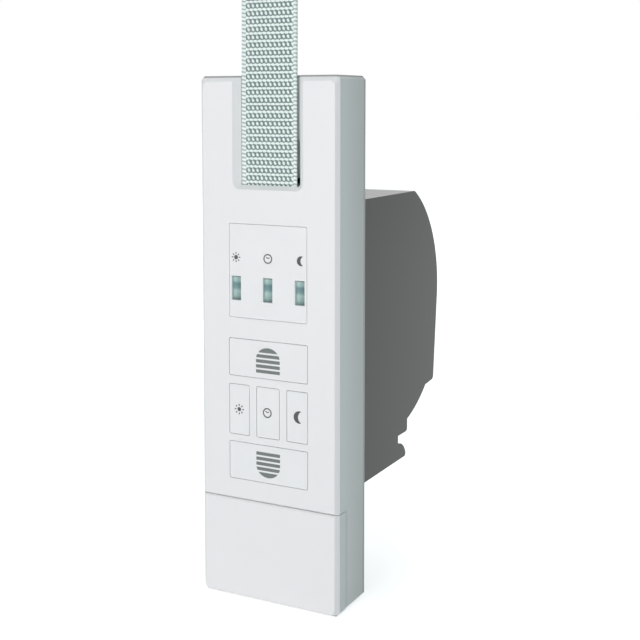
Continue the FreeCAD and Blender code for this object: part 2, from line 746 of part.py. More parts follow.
def case_screws():
    screws = []
    for x, z in case_screw_places():
        seat = -CASE_HEAD_SINK - CASE_HEAD_T
        head = Part.makeCone(CASE_HEAD_R, SCREW_R, CASE_HEAD_T, V(x, -CASE_HEAD_SINK, z), V(0, -1, 0))
        shank = rod_y(SCREW_R, x, z, seat - CASE_SCREW_L, seat)
        slot = box(x - CASE_HEAD_R, x + CASE_HEAD_R, -CASE_HEAD_SINK - DRIVER_SLOT_T, 0,
                   z - DRIVER_SLOT_HALF, z + DRIVER_SLOT_HALF)
        screws.append(head.fuse(shank).cut(slot).removeSplitter())
    return screws


# Front panel, windows and keys
def window_xs():
    return {"sun_window": -WINDOW_SIDE_X, "clock_window": 0.0, "moon_window": WINDOW_SIDE_X}


def indicator_panel():
    half = PANEL_HALF - FRONT_GAP
    low, high = PANEL_BOTTOM_Z + FRONT_GAP, PANEL_TOP_Z - FRONT_GAP
    face = slab(-half, half, low, high, FRONT, INNER_FRONT, KEY_R - FRONT_GAP)
    rim = slab(-half - PANEL_RIM, half + PANEL_RIM, low - PANEL_RIM, high + PANEL_RIM,
               INNER_FRONT, INNER_FRONT + PANEL_RIM_T, PANEL_RIM_R)
    panel = face.fuse(rim)
    for x in window_xs().values():
        panel = panel.cut(box(x - WINDOW_W / 2, x + WINDOW_W / 2, FRONT - BEYOND, 0,
                              WINDOW_MID_Z - WINDOW_H / 2, WINDOW_MID_Z + WINDOW_H / 2))
    return panel.removeSplitter()


def window(x):
    """A clear light guide with a collar behind the panel."""
    half_w, half_h = WINDOW_W / 2 - WINDOW_FIT, WINDOW_H / 2 - WINDOW_FIT
    panel_back = INNER_FRONT + PANEL_RIM_T
    lens_back = BOARD_Y - LED_BASE_T - LED_DOME_T - LED_GAP
    lens = box(x - half_w, x + half_w, FRONT + WINDOW_RECESS, lens_back,
               WINDOW_MID_Z - half_h, WINDOW_MID_Z + half_h)
    over = WINDOW_COLLAR
    collar = box(x - half_w - over, x + half_w + over, panel_back, panel_back + over,
                 WINDOW_MID_Z - half_h - over, WINDOW_MID_Z + half_h + over)
    return lens.fuse(collar).removeSplitter()


def key_middles():
    return {name: ((p[0] + p[1]) / 2, (p[2] + p[3]) / 2) for name, p in key_places().items()}


def key(name):
    """A key cap with a hidden rim behind the wall and a stem that runs in its switch."""
    x0, x1, z0, z1 = key_places()[name]
    mid_x, mid_z = key_middles()[name]
    rim_front = INNER_FRONT + KEY_GAP
    rim_back = rim_front + KEY_FLANGE_T
    cap = slab(x0, x1, z0, z1, FRONT, rim_back, KEY_R)
    rim = slab(x0 - KEY_FLANGE, x1 + KEY_FLANGE, z0 - KEY_FLANGE, z1 + KEY_FLANGE,
               rim_front, rim_back, KEY_R)
    stem = rod_y(STEM_R, mid_x, mid_z, rim_back - STEM_REACH, BOARD_Y - SWITCH_H + STEM_REACH)
    return fused([cap, rim, stem])


def key_switches():
    switches = []
    half = SWITCH_SIDE / 2
    for x, z in key_middles().values():
        front = BOARD_Y - SWITCH_H
        body = slab(x - half, x + half, z - half, z + half, front, BOARD_Y, SWITCH_CORNER_R)
        switches.append(body.cut(rod_y(STEM_R + STEM_GAP, x, z, front - BEYOND, BOARD_Y - SWITCH_FLOOR)))
    return switches


# Circuit board and what sits on it
def main_board():
    board = slab(-BOARD_HALF, BOARD_HALF, BOARD_BOTTOM_Z, BOARD_TOP_Z, BOARD_Y, BOARD_BACK, BOARD_CORNER_R)
    for x, z in board_boss_places():
        board = board.cut(rod_y(BOARD_SCREW_R + SCREW_CLEAR, x, z, BOARD_Y - BEYOND, BOARD_BACK + BEYOND))
    return board


def board_screws():
    return [
        pan_screw((x, BOARD_Y - BOARD_SCREW_L, z), (x, BOARD_BACK, z),
                  BOARD_SCREW_R, BOARD_SCREW_HEAD_R, PAN_HEAD_T)
        for x, z in board_boss_places()
    ]


def status_leds():
    leds = []
    for x in window_xs().values():
        front = BOARD_Y - LED_BASE_T
        base = box(x - LED_W / 2, x + LED_W / 2, front, BOARD_Y,
                   WINDOW_MID_Z - LED_H / 2, WINDOW_MID_Z + LED_H / 2)
        dome = rod_y(LED_DOME_R, x, WINDOW_MID_Z, front - LED_DOME_T, front)
        leds.append(base.fuse(dome).removeSplitter())
    return leds


def controller_chip():
    z = PANEL_BOTTOM_Z + CHIP_RISE
    half = CHIP_SIDE / 2
    front = BOARD_Y - PLATE_GAP - CHIP_T
    body = box(-half, half, front, front + CHIP_T, z - half, z + half)
    pins = []
    for index in range(CHIP_PINS):
        low = z + (index - (CHIP_PINS - 1) / 2) * CHIP_PIN_PITCH - CHIP_PIN_W / 2
        for side in (-1, 1):
            x0, x1 = sorted((side * half, side * (half + CHIP_PIN_L)))
            pins.append(box(x0, x1, BOARD_Y - CHIP_PIN_T, BOARD_Y, low, low + CHIP_PIN_W))
    return body.multiFuse(pins).removeSplitter()


def mains_transformer():
    def block(w, h, inset):
        return box(-w / 2, w / 2, BOARD_BACK + inset, BOARD_BACK + TRANSFORMER_T - inset,
                   TRANSFORMER_Z - h / 2, TRANSFORMER_Z + h / 2)

    core = block(TRANSFORMER_W, TRANSFORMER_H, 0)
    return core.fuse(block(BOBBIN_W, BOBBIN_H, BOBBIN_INSET)).removeSplitter()


def motor_relays():
    low, high = RELAY_Z - RELAY_H / 2, RELAY_Z + RELAY_H / 2
    inner, outer = RELAY_GAP / 2, RELAY_GAP / 2 + RELAY_W
    spans = ((-outer, -inner), (inner, outer))
    return [box(x0, x1, BOARD_BACK, BOARD_BACK + RELAY_T, low, high) for x0, x1 in spans]


def supply_capacitor():
    y = BOARD_BACK + CAPACITOR_R + PLATE_GAP
    low = CAPACITOR_Z - CAPACITOR_L / 2
    x = TRANSFORMER_W / 2 + CAPACITOR_SIDE_GAP + CAPACITOR_R
    body = rod(CAPACITOR_R, (x, y, low), (x, y, low + CAPACITOR_L))
    return body.makeFillet(CAPACITOR_EDGE_R, [body.Edges[0], body.Edges[2]])


def motor_connector():
    half_w, half_h, t = MOTOR_CONNECTOR_W / 2, MOTOR_CONNECTOR_H / 2, CONNECTOR_WALL
    back = BOARD_BACK + MOTOR_CONNECTOR_T
    shell = box(-half_w, half_w, BOARD_BACK, back, WORM_Z - half_h, WORM_Z + half_h)
    return shell.cut(box(-half_w + t, half_w - t, BOARD_BACK + 2 * t, back + BEYOND,
                         WORM_Z - half_h + t, WORM_Z + half_h - t))


def motor_leads():
    half = MOTOR_LEAD_SPACING / 2
    y0, y1 = BOARD_BACK + 2 * CONNECTOR_WALL + CONNECTOR_GAP, MOTOR_START_Y - PLATE_GAP
    return [rod_y(MOTOR_LEAD_R, x, WORM_Z, y0, y1) for x in (-half, half)]


def pole_xs():
    return [TERMINAL_LEFT_X + TERMINAL_PITCH * (i + 0.5) for i in range(TERMINAL_POLES)]


def mains_connector():
    x0 = BOARD_BOSS_INSET_X - BOARD_HALF + BOARD_SCREW_HEAD_R + MAINS_CONNECTOR_GAP
    x1 = TERMINAL_LEFT_X + TERMINAL_W - MAINS_CONNECTOR_INSET
    low = BOARD_BOTTOM_Z + BEYOND
    back = BOARD_BACK + MAINS_CONNECTOR_T
    shell = box(x0, x1, BOARD_BACK, back, low, low + MAINS_CONNECTOR_H)
    half_w = MOTOR_CONNECTOR_W / 2 + CONNECTOR_GAP
    half_h = MOTOR_CONNECTOR_H / 2 + CONNECTOR_GAP
    shell = shell.cut(box(-half_w, half_w, BOARD_BACK - BEYOND, back + BEYOND,
                          WORM_Z - half_h, WORM_Z + half_h))
    for x in pole_xs():
        shell = shell.cut(rod(MAINS_LEAD_R + STEM_GAP, (x, -LEAD_DEPTH, low - BEYOND),
                              (x, -LEAD_DEPTH, low + MAINS_CONNECTOR_H / 2)))
    return shell


def mains_leads():
    end = BOARD_BOTTOM_Z + BEYOND + MAINS_CONNECTOR_H / 2
    return [
        rod(MAINS_LEAD_R, (x, -LEAD_DEPTH, TERMINAL_TOP_Z), (x, -LEAD_DEPTH, end)) for x in pole_xs()
    ]


# Wiring bay
def terminal_block():
    right = TERMINAL_LEFT_X + TERMINAL_W
    front, low, mid = TERMINAL_FRONT, TERMINAL_LOW_Z, TERMINAL_MID_Z
    block = box(TERMINAL_LEFT_X, right, front, -BACK_T, low, TERMINAL_TOP_Z)
    wire_y = -BACK_T - TERMINAL_WIRE_DEPTH
    for x in pole_xs():
        block = block.cut(rod_y(TERMINAL_BORE_R, x, mid, front - BEYOND, front + TERMINAL_BORE_DEPTH))
        block = block.cut(rod(TERMINAL_WIRE_R, (x, wire_y, low - BEYOND), (x, wire_y, mid)))
    half = TERMINAL_GROOVE_W / 2
    for x in pole_xs()[:-1]:
        groove = x + TERMINAL_PITCH / 2
        block = block.cut(box(groove - half, groove + half, front - BEYOND, front + TERMINAL_GROOVE_DEPTH,
                              low - BEYOND, TERMINAL_TOP_Z + BEYOND))
    return block.removeSplitter()


def terminal_screws():
    start, end = TERMINAL_FRONT + TERMINAL_SCREW_SINK, TERMINAL_FRONT + TERMINAL_BORE_DEPTH
    mid = TERMINAL_MID_Z
    screws = []
    for x in pole_xs():
        body = rod_y(TERMINAL_SCREW_R, x, mid, start, end)
        slot = box(x - TERMINAL_BORE_R, x + TERMINAL_BORE_R, start - BEYOND, start + DRIVER_SLOT_T,
                   mid - DRIVER_SLOT_HALF, mid + DRIVER_SLOT_HALF)
        screws.append(body.cut(slot))
    return screws


def cable_clamp():
    y, reach, half_h = CLAMP_FRONT, CLAMP_REACH, CLAMP_BAR_H / 2
    bar = slab(ENTRY_X - reach, ENTRY_X + reach, CLAMP_Z - half_h, CLAMP_Z + half_h,
               y - CLAMP_BAR_T, y, CLAMP_BAR_H / 4)
    pad = box(ENTRY_X - CLAMP_PAD_W / 2, ENTRY_X + CLAMP_PAD_W / 2, y, y + CLAMP_PAD_T,
              CLAMP_Z - CLAMP_PAD_H / 2, CLAMP_Z + CLAMP_PAD_H / 2)
    bar = bar.fuse(pad)
    for x in clamp_post_xs():
        bar = bar.cut(rod_y(SCREW_R + SCREW_CLEAR, x, CLAMP_Z, y - CLAMP_BAR_T - BEYOND, y + BEYOND))
    return bar.removeSplitter()


def clamp_screws():
    seat = CLAMP_FRONT - CLAMP_BAR_T
    tip = -BACK_T - SCREW_CLEAR
    return [pan_screw((x, tip, CLAMP_Z), (x, seat, CLAMP_Z), SCREW_R, PAN_HEAD_R, PAN_HEAD_T)
            for x in clamp_post_xs()]


# Belt
def strand_angles():
    """The angle of the straight run from the roller to the roll, and of the roll's radius where it lands."""
    dy, dz = DRUM_Y - ROLLER_Y, DRUM_Z - ROLLER_Z
    apart = math.hypot(dy, dz)
    lean = math.atan2(dz, dy) + math.asin((STRAND_ROLLER_R + STRAND_DRUM_R) / apart)
    return lean, lean + math.pi / 2


def shutter_belt():
    """The strand from the roll, under the guide roller and up through the channel."""
    lean, up = strand_angles()
    end = up - math.radians(STRAND_WRAP_DEG)
    half = BELT_T / 2

    def side(offset):
        """One face of the strand; offset is towards the front and below."""
        r1, r2 = STRAND_ROLLER_R + offset, STRAND_DRUM_R - offset
        y = BELT_Y - offset
        off_roller = on_circle(ROLLER_Y, ROLLER_Z, r1, lean - math.pi / 2)
        on_roll = on_circle(DRUM_Y, DRUM_Z, r2, up)
        arc_mid = on_circle(ROLLER_Y, ROLLER_Z, r1, (math.pi + lean + 1.5 * math.pi) / 2)
        roll_mid = on_circle(DRUM_Y, DRUM_Z, r2, (up + end) / 2)
        roll_end = on_circle(DRUM_Y, DRUM_Z, r2, end)
        return [
            ((y, BELT_TOP_Z), (y, ROLLER_Z)),
            ((y, ROLLER_Z), arc_mid, off_roller),
            (off_roller, on_roll),
            (on_roll, roll_mid, roll_end),
        ]

    front, back = side(half), side(-half)
    items = front + [(front[-1][-1], back[-1][-1])]
    items += [tuple(reversed(item)) for item in reversed(back)]
    items.append((back[0][0], front[0][0]))
    belt = prism_x(yz_wire(items, -BELT_W / 2), BELT_W)
    drop = BELT_TOP_Z - ROLLER_Z
    straight = math.hypot(ROLLER_Y - DRUM_Y, ROLLER_Z - DRUM_Z)
    straight = math.sqrt(straight**2 - (STRAND_ROLLER_R + STRAND_DRUM_R) ** 2)
    length = drop + STRAND_ROLLER_R * (math.pi / 2 + lean) + straight
    length += STRAND_DRUM_R * math.radians(STRAND_WRAP_DEG)
    print("belt strand", round(length, 1), "mm, volume over section",
          round(belt.Volume / (BELT_W * BELT_T), 1), "mm")
    return belt


def belt_end_clamp():
    """Two pressed plates that grip the belt's upper end, with an eye above it."""
    half = BELT_W / 2 + END_GRIP_SIDE
    low, high = BELT_TOP_Z - END_GRIP_L, BELT_TOP_Z + END_ABOVE
    grip = BELT_T / 2 + END_GRIP_GAP
    outer = grip + END_METAL_T
    block = slab(-half, half, low, high, BELT_Y - outer, BELT_Y + outer, END_CORNER_R)
    inner = BELT_W / 2 + 2 * END_GRIP_GAP
    block = block.cut(box(-inner, inner, BELT_Y - grip, BELT_Y + grip,
                          low - BEYOND, BELT_TOP_Z + 2 * END_GRIP_GAP))
    eye_low = BELT_TOP_Z + EYE_RISE
    eye = slab(-EYE_HALF, EYE_HALF, eye_low, eye_low + EYE_H,
               BELT_Y - outer - BEYOND, BELT_Y + outer + BEYOND, EYE_R)
    return block.cut(eye).removeSplitter()


def belt_roll():
    """The wound belt: half turns whose radius grows by half a pitch each."""
    step = ROLL_PITCH / 2
    half = BELT_T / 2

    def side(offset):
        items = []
        for index in range(ROLL_HALF_TURNS):
            r = ROLL_START_R + (index + 0.5) * step + offset
            shift = -step / 2 if index % 2 else step / 2
            centre = DRUM_Z + shift
            sign = 1 if index % 2 == 0 else -1
            start, end = centre - sign * r, centre + sign * r
            items.append(((DRUM_Y, start), (DRUM_Y + sign * r, centre), (DRUM_Y, end)))
        return items

    inner, outer = side(-half), side(half)
    items = outer + [(outer[-1][-1], inner[-1][-1])]
    items += [tuple(reversed(item)) for item in reversed(inner)]
    items.append((inner[0][0], outer[0][0]))
    length = sum(math.pi * (ROLL_START_R + (i + 0.5) * step) for i in range(ROLL_HALF_TURNS))
    print("belt roll", round(length), "mm of belt, gap between turns", round(ROLL_PITCH - BELT_T, 2),
          "mm, outer radius", round(ROLL_END_R + step / 2 + half, 2))
    return prism_x(yz_wire(items, -BELT_W / 2), BELT_W)


def guide_roller():
    middle = (ROLLER_Y, ROLLER_Z)
    body = rod_x(ROLLER_R, *middle, -ROLLER_HALF, ROLLER_HALF)
    return body.cut(rod_x(ROLLER_PIN_R + RUN_FIT, *middle, -ROLLER_HALF, ROLLER_HALF))


def guide_roller_pin():
    reach = CHANNEL_HALF + EAR_T
    return rod_x(ROLLER_PIN_R, ROLLER_Y, ROLLER_Z, -reach, reach)


# Housing
def housing_outline(x):
    lean = math.radians(LEAN_DEG)
    top_y = DRUM_Y + math.sqrt(CROWN_R**2 - (HOUSING_TOP_Z - DRUM_Z) ** 2)
    top_angle = math.asin((HOUSING_TOP_Z - DRUM_Z) / CROWN_R)
    crown_end = on_circle(DRUM_Y, DRUM_Z, CROWN_R, -lean)
    crown_mid = on_circle(DRUM_Y, DRUM_Z, CROWN_R, (top_angle - lean) / 2)
    shoulder_y = crown_end[0] - (crown_end[1] - SHOULDER_Z) * math.tan(lean)
    lower_z = SHOULDER_Z - SHOULDER_DROP
    lower_y = DRUM_Y + math.sqrt(LOWER_R**2 - (DRUM_Z - lower_z) ** 2)
    foot_top = DRUM_Z - math.sqrt(LOWER_R**2 - (FOOT_Y - DRUM_Y) ** 2)
    lower_angle = (math.asin((lower_z - DRUM_Z) / LOWER_R) + math.asin((foot_top - DRUM_Z) / LOWER_R)) / 2
    r = CORNER_R
    turn = r * (1 - math.sqrt(0.5))
    shoulder = [
        (shoulder_y + r * math.tan(lean), SHOULDER_Z + r),
        (shoulder_y - turn, SHOULDER_Z + turn),
        (shoulder_y - r, SHOULDER_Z - SHOULDER_DROP / 8),
    ]
    foot = [(FOOT_Y, FOOT_Z + r), (FOOT_Y - turn, FOOT_Z + turn), (FOOT_Y - r, FOOT_Z)]
    toe = [(TOE_Y, HOUSING_BOTTOM_Z + r), (TOE_Y - turn, HOUSING_BOTTOM_Z + turn),
           (TOE_Y - r, HOUSING_BOTTOM_Z)]
    lobe_mid = (TOE_Y - LOBE_IN, NOTCH_Z - LOBE_DROP)
    items = [
        ((HOUSING_FRONT, HOUSING_TOP_Z), (top_y, HOUSING_TOP_Z)),
        ((top_y, HOUSING_TOP_Z), crown_mid, crown_end),
        (crown_end, shoulder[0]),
        tuple(shoulder),
        (shoulder[2], (lower_y, lower_z)),
        ((lower_y, lower_z), on_circle(DRUM_Y, DRUM_Z, LOWER_R, lower_angle), (FOOT_Y, foot_top)),
        ((FOOT_Y, foot_top), foot[0]),
        tuple(foot),
        (foot[2], (NOTCH_Y, FOOT_Z)),
        ((NOTCH_Y, FOOT_Z), (NOTCH_Y, NOTCH_Z)),
        ((NOTCH_Y, NOTCH_Z), lobe_mid, toe[0]),
        tuple(toe),
        (toe[2], (HOUSING_FRONT, HOUSING_BOTTOM_Z)),
        ((HOUSING_FRONT, HOUSING_BOTTOM_Z), (HOUSING_FRONT, HOUSING_TOP_Z)),
    ]
    return yz_wire(items, x)


def housing_hollow_outline(x):
    t = HOUSING_WALL
    lean = math.radians(LEAN_DEG)
    crown, lower = CROWN_R - t, LOWER_R - t
    front = HOUSING_FRONT - BEYOND
    top_z = HOUSING_TOP_Z - t
    top_y = DRUM_Y + math.sqrt(crown**2 - (top_z - DRUM_Z) ** 2)
    top_angle = math.asin((top_z - DRUM_Z) / crown)
    crown_end = on_circle(DRUM_Y, DRUM_Z, crown, -lean)
    crown_mid = on_circle(DRUM_Y, DRUM_Z, crown, (top_angle - lean) / 2)
    shoulder_z = SHOULDER_Z + t
    shoulder_y = crown_end[0] - (crown_end[1] - shoulder_z) * math.tan(lean)
    lower_y = DRUM_Y + math.sqrt(lower**2 - (DRUM_Z - shoulder_z) ** 2)
    foot_y = FOOT_Y - t
    foot_top = DRUM_Z - math.sqrt(lower**2 - (foot_y - DRUM_Y) ** 2)
    low_angle = (math.asin((shoulder_z - DRUM_Z) / lower) + math.asin((foot_top - DRUM_Z) / lower)) / 2
    items = [
        ((front, top_z), (top_y, top_z)),
        ((top_y, top_z), crown_mid, crown_end),
        (crown_end, (shoulder_y, shoulder_z)),
        ((shoulder_y, shoulder_z), (lower_y, shoulder_z)),
        ((lower_y, shoulder_z), on_circle(DRUM_Y, DRUM_Z, lower, low_angle), (foot_y, foot_top)),
        ((foot_y, foot_top), (foot_y, FOOT_Z + t)),
        ((foot_y, FOOT_Z + t), (NOTCH_Y - t, FOOT_Z + t)),
        ((NOTCH_Y - t, FOOT_Z + t), (NOTCH_Y - t, HOUSING_BOTTOM_Z + t)),
        ((NOTCH_Y - t, HOUSING_BOTTOM_Z + t), (front, HOUSING_BOTTOM_Z + t)),
        ((front, HOUSING_BOTTOM_Z + t), (front, top_z)),
    ]
    return yz_wire(items, x)


def housing_screw_places():
    ring_r = HOUSING_SCREW_RING_R
    return [
        on_circle(DRUM_Y, DRUM_Z, ring_r, math.radians(CROWN_SCREW_DEG)),
        on_circle(DRUM_Y, DRUM_Z, ring_r, 0),
        (DRUM_Y + CROWN_R - SHOULDER_SCREW_IN, SHOULDER_Z + SHOULDER_SCREW_UP),
        (FRONT_SCREW_Y, DRUM_Z - FRONT_SCREW_BELOW),
    ]


def right_half_tub():
    """The housing's right half as a tub: a side wall, half of the rim and the flange."""
    outer = prism_x(housing_outline(0), HOUSING_HALF)
    hollow = prism_x(housing_hollow_outline(-BEYOND), HOUSING_INNER + BEYOND)
    flange = box(0, FLANGE_HALF, HOUSING_FRONT, -BACK_T,
                 HOUSING_BOTTOM_Z - FLANGE_UNDER, HOUSING_TOP_Z + FLANGE_OVER)
    return outer.fuse(flange).cut(hollow)


def plate_guides(y0, y1, z0, z1):
    """Two ribs on the side wall that hold a cross plate between y0 and y1."""
    x0, x1 = HOUSING_INNER - GUIDE_REACH, HOUSING_INNER + ROOTED
    before, after = y0 - GUIDE_GAP, y1 + GUIDE_GAP
    return [box(x0, x1, before - GUIDE_T, before, z0, z1), box(x0, x1, after, after + GUIDE_T, z0, z1)]


def housing_half(side):
    inner = HOUSING_INNER
    added = []
    for y, z in housing_screw_places():
        added.append(rod_x(HOUSING_BOSS_R, y, z, 0, inner + ROOTED))
    boss_in = GEAR_X1 + DRUM_END_GAP if side > 0 else DRUM_INNER_HALF + DRUM_FLANGE_T + DRUM_END_GAP
    added.append(rod_x(DRUM_AXLE_R + AXLE_BOSS_T, DRUM_Y, DRUM_Z, boss_in, inner + ROOTED))
    boss_in = (GEAR_X1 + PLATE_GAP if side > 0 else -SLEEVE_START_X) + COUNTER_END_GAP
    added.append(rod_x(COUNTER_PIN_R + COUNTER_BOSS_T, COUNTER_Y, COUNTER_Z, boss_in, inner + ROOTED))
    added += plate_guides(MOTOR_FRONT_Y, MOTOR_FRONT_Y + BRACKET_T,
                          HOUSING_BOTTOM_Z + BEYOND, COUNTER_Z - BRACKET_DROP)
    added += plate_guides(END_PLATE_Y, END_PLATE_Y + END_PLATE_T,
                          FOOT_Z + BEYOND, FOOT_Z + HOUSING_WALL + END_PLATE_H)
    half = right_half_tub().multiFuse(added)
    cuts = [
        rod_x(DRUM_AXLE_R + SCREW_FIT, DRUM_Y, DRUM_Z, 0, AXLE_HALF + SCREW_FIT),
        rod_x(COUNTER_PIN_R + SCREW_FIT, COUNTER_Y, COUNTER_Z, 0, AXLE_HALF + SCREW_FIT),
    ]
    for y, z in housing_screw_places():
        if side < 0:
            cuts.append(rod_x(HOUSING_SCREW_R + SCREW_CLEAR, y, z, -BEYOND, HOUSING_HALF + BEYOND))
            cuts.append(rod_x(HOUSING_SCREW_HEAD_R + BACK_GAP, y, z,
                              HOUSING_HALF - HOUSING_SCREW_SINK, HOUSING_HALF + BEYOND))
        else:
            cuts.append(rod_x(HOUSING_SCREW_R + SCREW_FIT, y, z, -BEYOND, HOUSING_SCREW_REACH + BEYOND))
    for x, z in flange_screw_places():
        if x > 0:
            cuts.append(rod_y(SCREW_R + SCREW_CLEAR, x, z, HOUSING_FRONT - BEYOND, 0))
    for cut in cuts:
        half = half.cut(cut)
    half = half.removeSplitter()
    return half if side > 0 else mirrored(half)


def housing_screws():
    seat = -HOUSING_HALF + HOUSING_SCREW_SINK
    return [
        pan_screw((HOUSING_SCREW_REACH, y, z), (seat, y, z), HOUSING_SCREW_R,
                  HOUSING_SCREW_HEAD_R, HOUSING_SCREW_HEAD_T)
        for y, z in housing_screw_places()
    ]


def flange_screws():
    return [
        pan_screw((x, -SCREW_CLEAR, z), (x, HOUSING_FRONT, z), SCREW_R, PAN_HEAD_R, PAN_HEAD_T)
        for x, z in flange_screw_places()
    ]


# Gears
def involute_angle(base_r, r, centre, sign):
    """The angle of a tooth's flank at radius r; centre is where it starts on the base circle."""
    roll = math.sqrt(max((r / base_r) ** 2 - 1, 0))
    return centre + sign * (roll - math.atan(roll))


def gear_wire(teeth, module, addendum, dedendum, backlash, first, x, at):
    """A spur gear's outline. first is the angle of a tooth's middle, and at is the gear's centre."""
    pitch_r = module * teeth / 2
    pressure = math.radians(PRESSURE_DEG)
    base_r = pitch_r * math.cos(pressure)
    tip_r, root_r = pitch_r + addendum, pitch_r - dedendum
    start_r = max(base_r, root_r)
    half_pitch = (math.pi * module / 2 - backlash / 2) / 2 / pitch_r
    half_base = half_pitch + math.tan(pressure) - pressure

    def point(r, angle):
        return on_circle(at[0], at[1], r, angle)

    def flank(r, middle, side):
        return point(r, involute_angle(base_r, r, middle - side * half_base, side))

    items = []
    for index in range(teeth):
        middle = first + index * 2 * math.pi / teeth
        following = middle + 2 * math.pi / teeth
        mid_r = (start_r + tip_r) / 2
        rise = (flank(start_r, middle, 1), flank(mid_r, middle, 1), flank(tip_r, middle, 1))
        fall = (flank(tip_r, middle, -1), flank(mid_r, middle, -1), flank(start_r, middle, -1))
        rising_next = flank(start_r, following, 1)
        items += [rise, (rise[2], point(tip_r, middle), fall[0]), fall]
        if root_r < base_r:
            low = point(root_r, middle + half_base)
            low_next = point(root_r, following - half_base)
            items.append((fall[2], low))
            items.append((low, point(root_r, (middle + following) / 2), low_next))
            items.append((low_next, rising_next))
        else:
            items.append((fall[2], point(root_r, (middle + following) / 2), rising_next))
    return yz_wire(items, x)


def drum_gear_angle():
    """A tooth gap of the drum gear faces the pinion."""
    facing = math.atan2(COUNTER_Z - DRUM_Z, COUNTER_Y - DRUM_Y)
    return facing + math.pi / DRUM_TEETH


def pinion_angle():
    """A tooth of the pinion faces the drum."""
    return math.atan2(DRUM_Z - COUNTER_Z, DRUM_Y - COUNTER_Y)


def drum_screw_angles():
    return [math.radians(90 + 120 * i) for i in range(3)]


def drum_gear():
    outline = gear_wire(DRUM_TEETH, SPUR_MODULE, SPUR_ADDENDUM, SPUR_DEDENDUM, SPUR_BACKLASH,
                        drum_gear_angle(), GEAR_X0, (DRUM_Y, DRUM_Z))
    gear = prism_x(outline, GEAR_T)
    gear = gear.cut(rod_x(BUSH_R + SCREW_FIT, DRUM_Y, DRUM_Z, GEAR_X0 - BEYOND, GEAR_X1 + BEYOND))
    for angle in drum_screw_angles():
        y, z = on_circle(DRUM_Y, DRUM_Z, DRUM_SCREW_RING_R, angle)
        gear = gear.cut(rod_x(SCREW_R + SCREW_CLEAR, y, z, GEAR_X0 - BEYOND, GEAR_X1 + BEYOND))
        gear = gear.cut(rod_x(DRUM_SCREW_HEAD_R + SCREW_CLEAR, y, z,
                              GEAR_X1 - DRUM_SCREW_SINK, GEAR_X1 + BEYOND))
    return gear.removeSplitter()


def drum_flange():
    x0, x1 = -DRUM_INNER_HALF - DRUM_FLANGE_T, -DRUM_INNER_HALF
    disc = rod_x(DRUM_FLANGE_R, DRUM_Y, DRUM_Z, x0, x1)
    disc = disc.cut(rod_x(BUSH_R + SCREW_FIT, DRUM_Y, DRUM_Z, x0 - BEYOND, x1 + BEYOND))
    for angle in drum_screw_angles():
        y, z = on_circle(DRUM_Y, DRUM_Z, DRUM_SCREW_RING_R, angle)
        disc = disc.cut(rod_x(SCREW_R + SCREW_CLEAR, y, z, x0 - BEYOND, x1 + BEYOND))
    return disc


def drum_core():
    half = DRUM_INNER_HALF
    core = rod_x(DRUM_CORE_R, DRUM_Y, DRUM_Z, -half, half)
    core = core.cut(rod_x(BUSH_R + SCREW_FIT, DRUM_Y, DRUM_Z, -half - BEYOND, half + BEYOND))
    bore_r, bore_end = SCREW_R + SCREW_FIT, half - DRUM_SCREW_DEPTH - BEYOND
    for angle in drum_screw_angles():
        y, z = on_circle(DRUM_Y, DRUM_Z, DRUM_SCREW_RING_R, angle)
        core = core.cut(rod_x(bore_r, y, z, -half - BEYOND, -bore_end))
        core = core.cut(rod_x(bore_r, y, z, bore_end, half + BEYOND))
    return core.removeSplitter()


def drum_screws():
    screws = []
    half = DRUM_INNER_HALF
    for angle in drum_screw_angles():
        y, z = on_circle(DRUM_Y, DRUM_Z, DRUM_SCREW_RING_R, angle)
        tip = half - DRUM_SCREW_DEPTH
        left_seat, right_seat = -half - DRUM_FLANGE_T, GEAR_X1 - DRUM_SCREW_SINK
        screws.append(pan_screw((-tip, y, z), (left_seat, y, z), SCREW_R,
                                 DRUM_SCREW_HEAD_R, DRUM_SCREW_HEAD_T))
        screws.append(pan_screw((tip, y, z), (right_seat, y, z), SCREW_R,
                                 DRUM_SCREW_HEAD_R, DRUM_SCREW_HEAD_T))
    return screws


def drum_bushes():
    left = -DRUM_INNER_HALF - DRUM_FLANGE_T
    spans = [(left, left + BUSH_L), (GEAR_X1 - BUSH_L, GEAR_X1)]
    return [
        ring(BUSH_R, DRUM_AXLE_R + RUN_FIT, (x0, DRUM_Y, DRUM_Z), (x1, DRUM_Y, DRUM_Z))
        for x0, x1 in spans
    ]


def drum_axle():
    return rod_x(DRUM_AXLE_R, DRUM_Y, DRUM_Z, -AXLE_HALF, AXLE_HALF)


def belt_hook():
    """A steel hook on the core, in the pocket before the belt's inner end."""
    r0, r1 = DRUM_CORE_R + SCREW_FIT, DRUM_CORE_R + SCREW_FIT + HOOK_T
    end = math.radians(HOOK_DEG - HOOK_GAP_DEG)
    start = end - math.radians(HOOK_SPAN_DEG)
    middle = (start + end) / 2

    def at(r, angle):
        return on_circle(DRUM_Y, DRUM_Z, r, angle)

    items = [
        (at(r0, start), at(r0, middle), at(r0, end)),
        (at(r0, end), at(r1, end)),
        (at(r1, end), at(r1, middle), at(r1, start)),
        (at(r1, start), at(r0, start)),
    ]
    return prism_x(yz_wire(items, -HOOK_HALF), 2 * HOOK_HALF)


def countershaft_pin():
    return rod_x(COUNTER_PIN_R, COUNTER_Y, COUNTER_Z, -AXLE_HALF, AXLE_HALF)


def pinion():
    outline = gear_wire(PINION_TEETH, SPUR_MODULE, PINION_ADDENDUM, SPUR_DEDENDUM, SPUR_BACKLASH,
                        pinion_angle(), GEAR_X0, (COUNTER_Y, COUNTER_Z))
    gear = prism_x(outline, GEAR_T)
    return gear.cut(rod_x(SLEEVE_R + PRESS_FIT, COUNTER_Y, COUNTER_Z, GEAR_X0 - BEYOND, GEAR_X1 + BEYOND))


